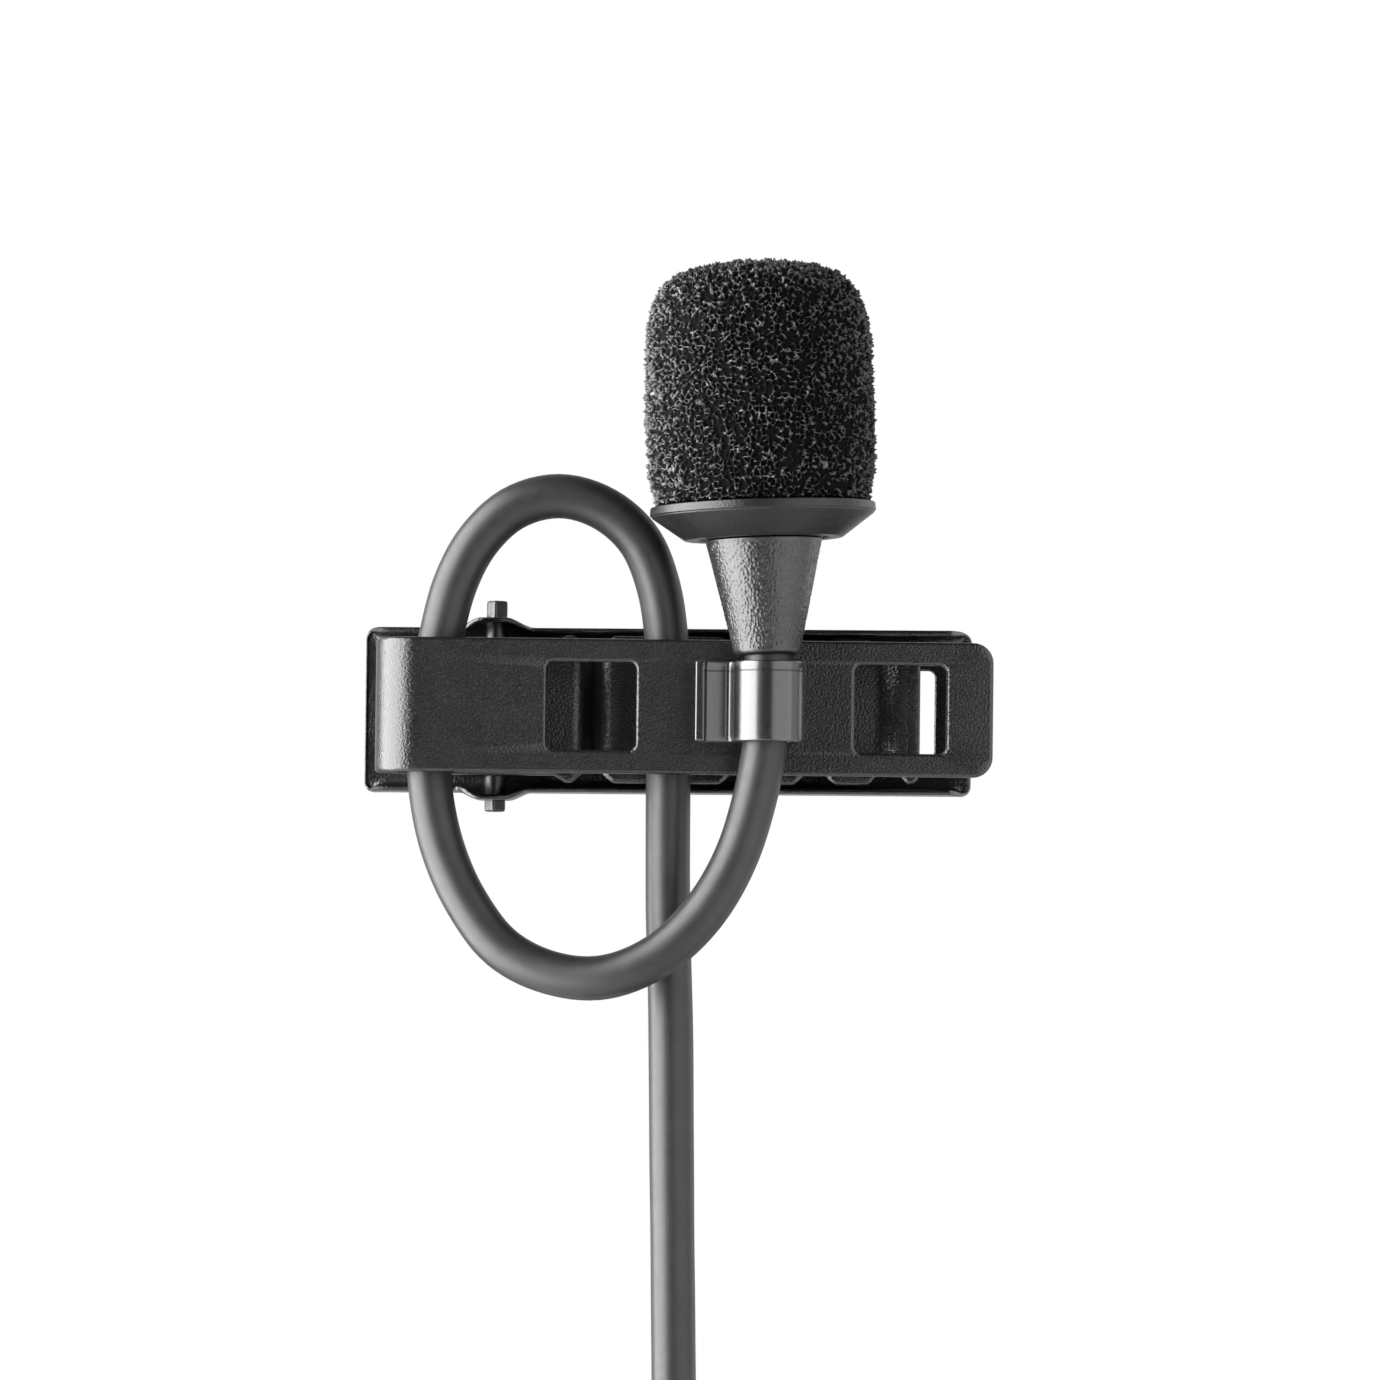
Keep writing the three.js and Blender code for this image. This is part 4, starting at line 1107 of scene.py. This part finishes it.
def woven(name, dark, light, pitch, microns, rough):
    """Two crossing sets of threads, lighter on the threads and darker in the hollows between them: painted
    shade in the hollows.
    """
    made = material(name, dark, light, pitch * 2, rough, pitch * 0.3, microns * 0.3)
    place = place_on(made)
    wave = {"Vector": place, "Scale": 1 / (pitch * MM) / 3.2, "Distortion": 0.4}
    top = node(made, "Math", {"operation": "MAXIMUM"})
    for k, axis in enumerate("XZ"):
        band = node(made, "TexWave", {"bands_direction": axis, "wave_profile": "SIN"}, **wave)
        made.node_tree.links.new(band.outputs["Fac"], top.inputs[k])
    # Painted shade: the base colour follows the threads' height, darker in the hollows between threads.
    link(made, blended(made, top.outputs[0], dark, light, 0.3, 0.95), "Base Color")
    link(made, raised(made, top.outputs[0], microns), "Normal")
    return made


def brushed(name, dark, light, rough, grain=(0.02, 0.02, 0.5)):
    """Metal with fine lines drawn along one way."""
    made = material(name, dark, light, 1.5, rough, 0.08, 0.5, 1.0)
    stretch = node(made, "Mapping", Vector=place_on(made), Scale=tuple(1 / (g * MM) for g in grain))
    lines = node(made, "TexNoise", Vector=stretch.outputs["Vector"], Scale=1.0, Detail=2.0).outputs["Fac"]
    link(made, between(made, lines, *rough), "Roughness")
    link(made, raised(made, lines, 0.8), "Normal")
    return made


def circuit_board():
    """Solder mask over copper tracks, which show as paler lines."""
    made = material("circuit_board", (0.01, 0.08, 0.03), (0.015, 0.11, 0.045), 0.6, (0.2, 0.32), 0.05, 1)
    edges = {"feature": "DISTANCE_TO_EDGE"}
    tracks = node(made, "TexVoronoi", edges, Vector=place_on(made), Scale=1 / (0.9 * MM)).outputs["Distance"]
    link(made, blended(made, tracks, (0.05, 0.24, 0.1), (0.012, 0.09, 0.035), 0.04, 0.07), "Base Color")
    return made


def dress(piece, made):
    """Gives a piece one material in every slot."""
    piece.data.materials.clear()
    piece.data.materials.append(made)
    for face in piece.data.polygons:
        face.material_index = 0


def dress_inside():
    """The capsule's parts and the plug's hidden ones keep their CAD shapes."""
    cloth = woven("dust_cloth", 0.01, 0.05, 0.08, 12, (0.7, 0.9))
    can = brushed("drawn_aluminium", 0.55, 0.68, (0.22, 0.34))
    brass = brushed("plated_brass", (0.5, 0.36, 0.14), (0.62, 0.46, 0.2), (0.2, 0.34))
    cream = material("cream_plastic", (0.62, 0.57, 0.44), (0.7, 0.66, 0.54), 0.7, (0.35, 0.5), 0.06, 1.5)
    looks = {
        cloth: ["dust_mesh"], can: ["capsule_can"], brass: ["diaphragm_ring", "diaphragm", "backplate"],
        cream: ["spacer_ring", "backplate_holder"], circuit_board(): ["capsule_board"],
        material("gasket_rubber", 0.012, 0.02, 0.5, (0.5, 0.65), 0.05, 2): ["capsule_gasket"],
        material("chip_epoxy", 0.01, 0.016, 0.2, (0.4, 0.55), 0.03, 2): ["fet_chip"],
        material("clamp_plastic", 0.03, 0.045, 0.8, (0.4, 0.55), 0.07, 2): ["cable_clamp"],
    }
    for made, nodes in looks.items():
        for name in nodes:
            dress(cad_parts[name], made)


# ---- Stage ----
def stage():
    mesh = bpy.data.meshes.new("floor")
    mesh.from_pydata([(-1, -1, 0), (1, -1, 0), (1, 1, 0), (-1, 1, 0)], [], [(0, 1, 2, 3)])
    floor = bpy.data.objects.new("floor", mesh)
    floor.location.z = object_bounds()[0][2] - FLOOR_DROP
    bpy.context.scene.collection.objects.link(floor)
    floor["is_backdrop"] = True
    pale = bpy.data.materials.new("floor_pale")
    pale.use_nodes = True
    shader(pale).inputs["Base Color"].default_value = rgb(0.6)
    shader(pale).inputs["Roughness"].default_value = 0.6
    floor.data.materials.append(pale)


def softbox(name, place, size, power, aim=(0, 0, 0)):
    data = bpy.data.lights.new(name, "AREA")
    data.shape = "RECTANGLE"
    data.size, data.size_y = size
    data.energy = power
    lamp = bpy.data.objects.new(name, data)
    lamp.location = place
    lamp.rotation_euler = (Vector(place) - Vector(aim)).to_track_quat("Z", "Y").to_euler()
    bpy.context.scene.collection.objects.link(lamp)


def lights():
    """A big soft key at the left with a faint strip before it, a fill and a rim at the right, and a
    white room, which is darker for everything but the camera, and darkest in front of the object.
    """
    world = bpy.data.worlds.new("studio")
    world.use_nodes = True
    nodes, links = world.node_tree.nodes, world.node_tree.links
    seen = nodes.new("ShaderNodeLightPath").outputs["Is Camera Ray"]
    way = nodes.new("ShaderNodeSeparateXYZ")
    links.new(nodes.new("ShaderNodeTexCoord").outputs["Generated"], way.inputs["Vector"])
    behind = nodes.new("ShaderNodeMapRange")
    for key, value in {"From Min": 0.25, "From Max": 0.9, "To Min": 0.06, "To Max": 0.8}.items():
        behind.inputs[key].default_value = value
    links.new(way.outputs["Y"], behind.inputs["Value"])
    level = nodes.new("ShaderNodeMapRange")
    links.new(seen, level.inputs["Value"])
    links.new(behind.outputs["Result"], level.inputs["To Min"])
    level.inputs["To Max"].default_value = 1.0
    links.new(level.outputs["Result"], nodes["Background"].inputs["Strength"])
    nodes["Background"].inputs["Color"].default_value = rgb(1)
    bpy.context.scene.world = world
    softbox("key_left", (-0.30, -0.12, 0.0), (0.50, 0.8), 18, (0, -0.12, 0.0))
    softbox("key_edge", (-0.30, -0.50, 0.0), (0.26, 0.8), 0.5, (0, -0.50, 0.0))
    softbox("fill_right", (0.10, -0.26, 0.04), (0.46, 0.36), 1.3, (0, -0.26, 0.04))
    softbox("rim_right", (0.30, 0.12, 0.0), (0.45, 0.8), 1.5, (0, 0.12, 0.0))
    bpy.context.scene.view_settings.view_transform = "Standard"


def dressed(make, made):
    piece = make()
    dress(piece, made)
    return piece


camera()
lights()
paint = material("clip_paint", 0.0035, 0.0045, 2.4, (0.22, 0.26), 0.1, 28, Specular_IOR_Level=0.5)
gloss = material("gloss_black", 0.005, 0.007, 0.6, (0.21, 0.25), 0.1, 2.5, Specular_IOR_Level=0.8)
leather = material("leather_rubber", 0.003, 0.006, 0.5, (0.28, 0.36), 0.05, 3, Specular_IOR_Level=0.5)
satin = material("collar_plastic", 0.003, 0.005, 0.7, (0.29, 0.35), 0.08, 18, Specular_IOR_Level=0.32)
jacket = material("lead_jacket", 0.007, 0.010, 0.8, (0.40, 0.46), 0.09, 3, Specular_IOR_Level=0.36)
moulded = material("moulded_plastic", 0.012, 0.02, 0.8, (0.3, 0.4), 0.07, 2)
soft_black = material("boot_rubber", 0.014, 0.022, 0.9, (0.45, 0.6), 0.08, 4)
anodised = material("black_anodised", 0.02, 0.03, 0.9, (0.28, 0.4), 0.06, 1.5, 0.6)
blackened = brushed("blackened_steel", 0.04, 0.06, (0.34, 0.46))
nickel = brushed("satin_nickel", (0.26, 0.256, 0.25), (0.32, 0.315, 0.305), (0.26, 0.36))
gold = brushed("gold_plate", (0.7, 0.46, 0.12), (0.82, 0.58, 0.2), (0.14, 0.24))

for make in (clip_front, clip_rear):
    dressed(make, paint)
for piece in lugs():
    dress(piece, paint)
dressed(hinge_pin, blackened)
dressed(rivet, blackened)
dressed(spring_wire, brushed("spring_steel", 0.12, 0.2, (0.25, 0.4)))
dressed(mic_loop, gloss)
dressed(relief, leather)
dressed(capsule_tube, anodised)
dressed(capsule_cap, anodised)
dressed(screen_collar, satin)
dressed(foam_cover, foam_cells())
tie = dressed(strap, woven("hook_and_loop", 0.008, 0.03, 0.35, 40, (0.75, 0.95)))
shell = dressed(plug_shell, nickel)
nut = dressed(plug_nut, nickel)
boot = dressed(plug_boot, soft_black)
insert, contacts = plug_insides()
dress(insert, moulded)
for contact in contacts:
    dress(contact, gold)
button = dressed(latch, nickel)
leaf = dressed(latch_leaf, brushed("leaf_steel", 0.4, 0.5, (0.2, 0.32)))
dress(lead(), jacket)
dress_inside()
stage()
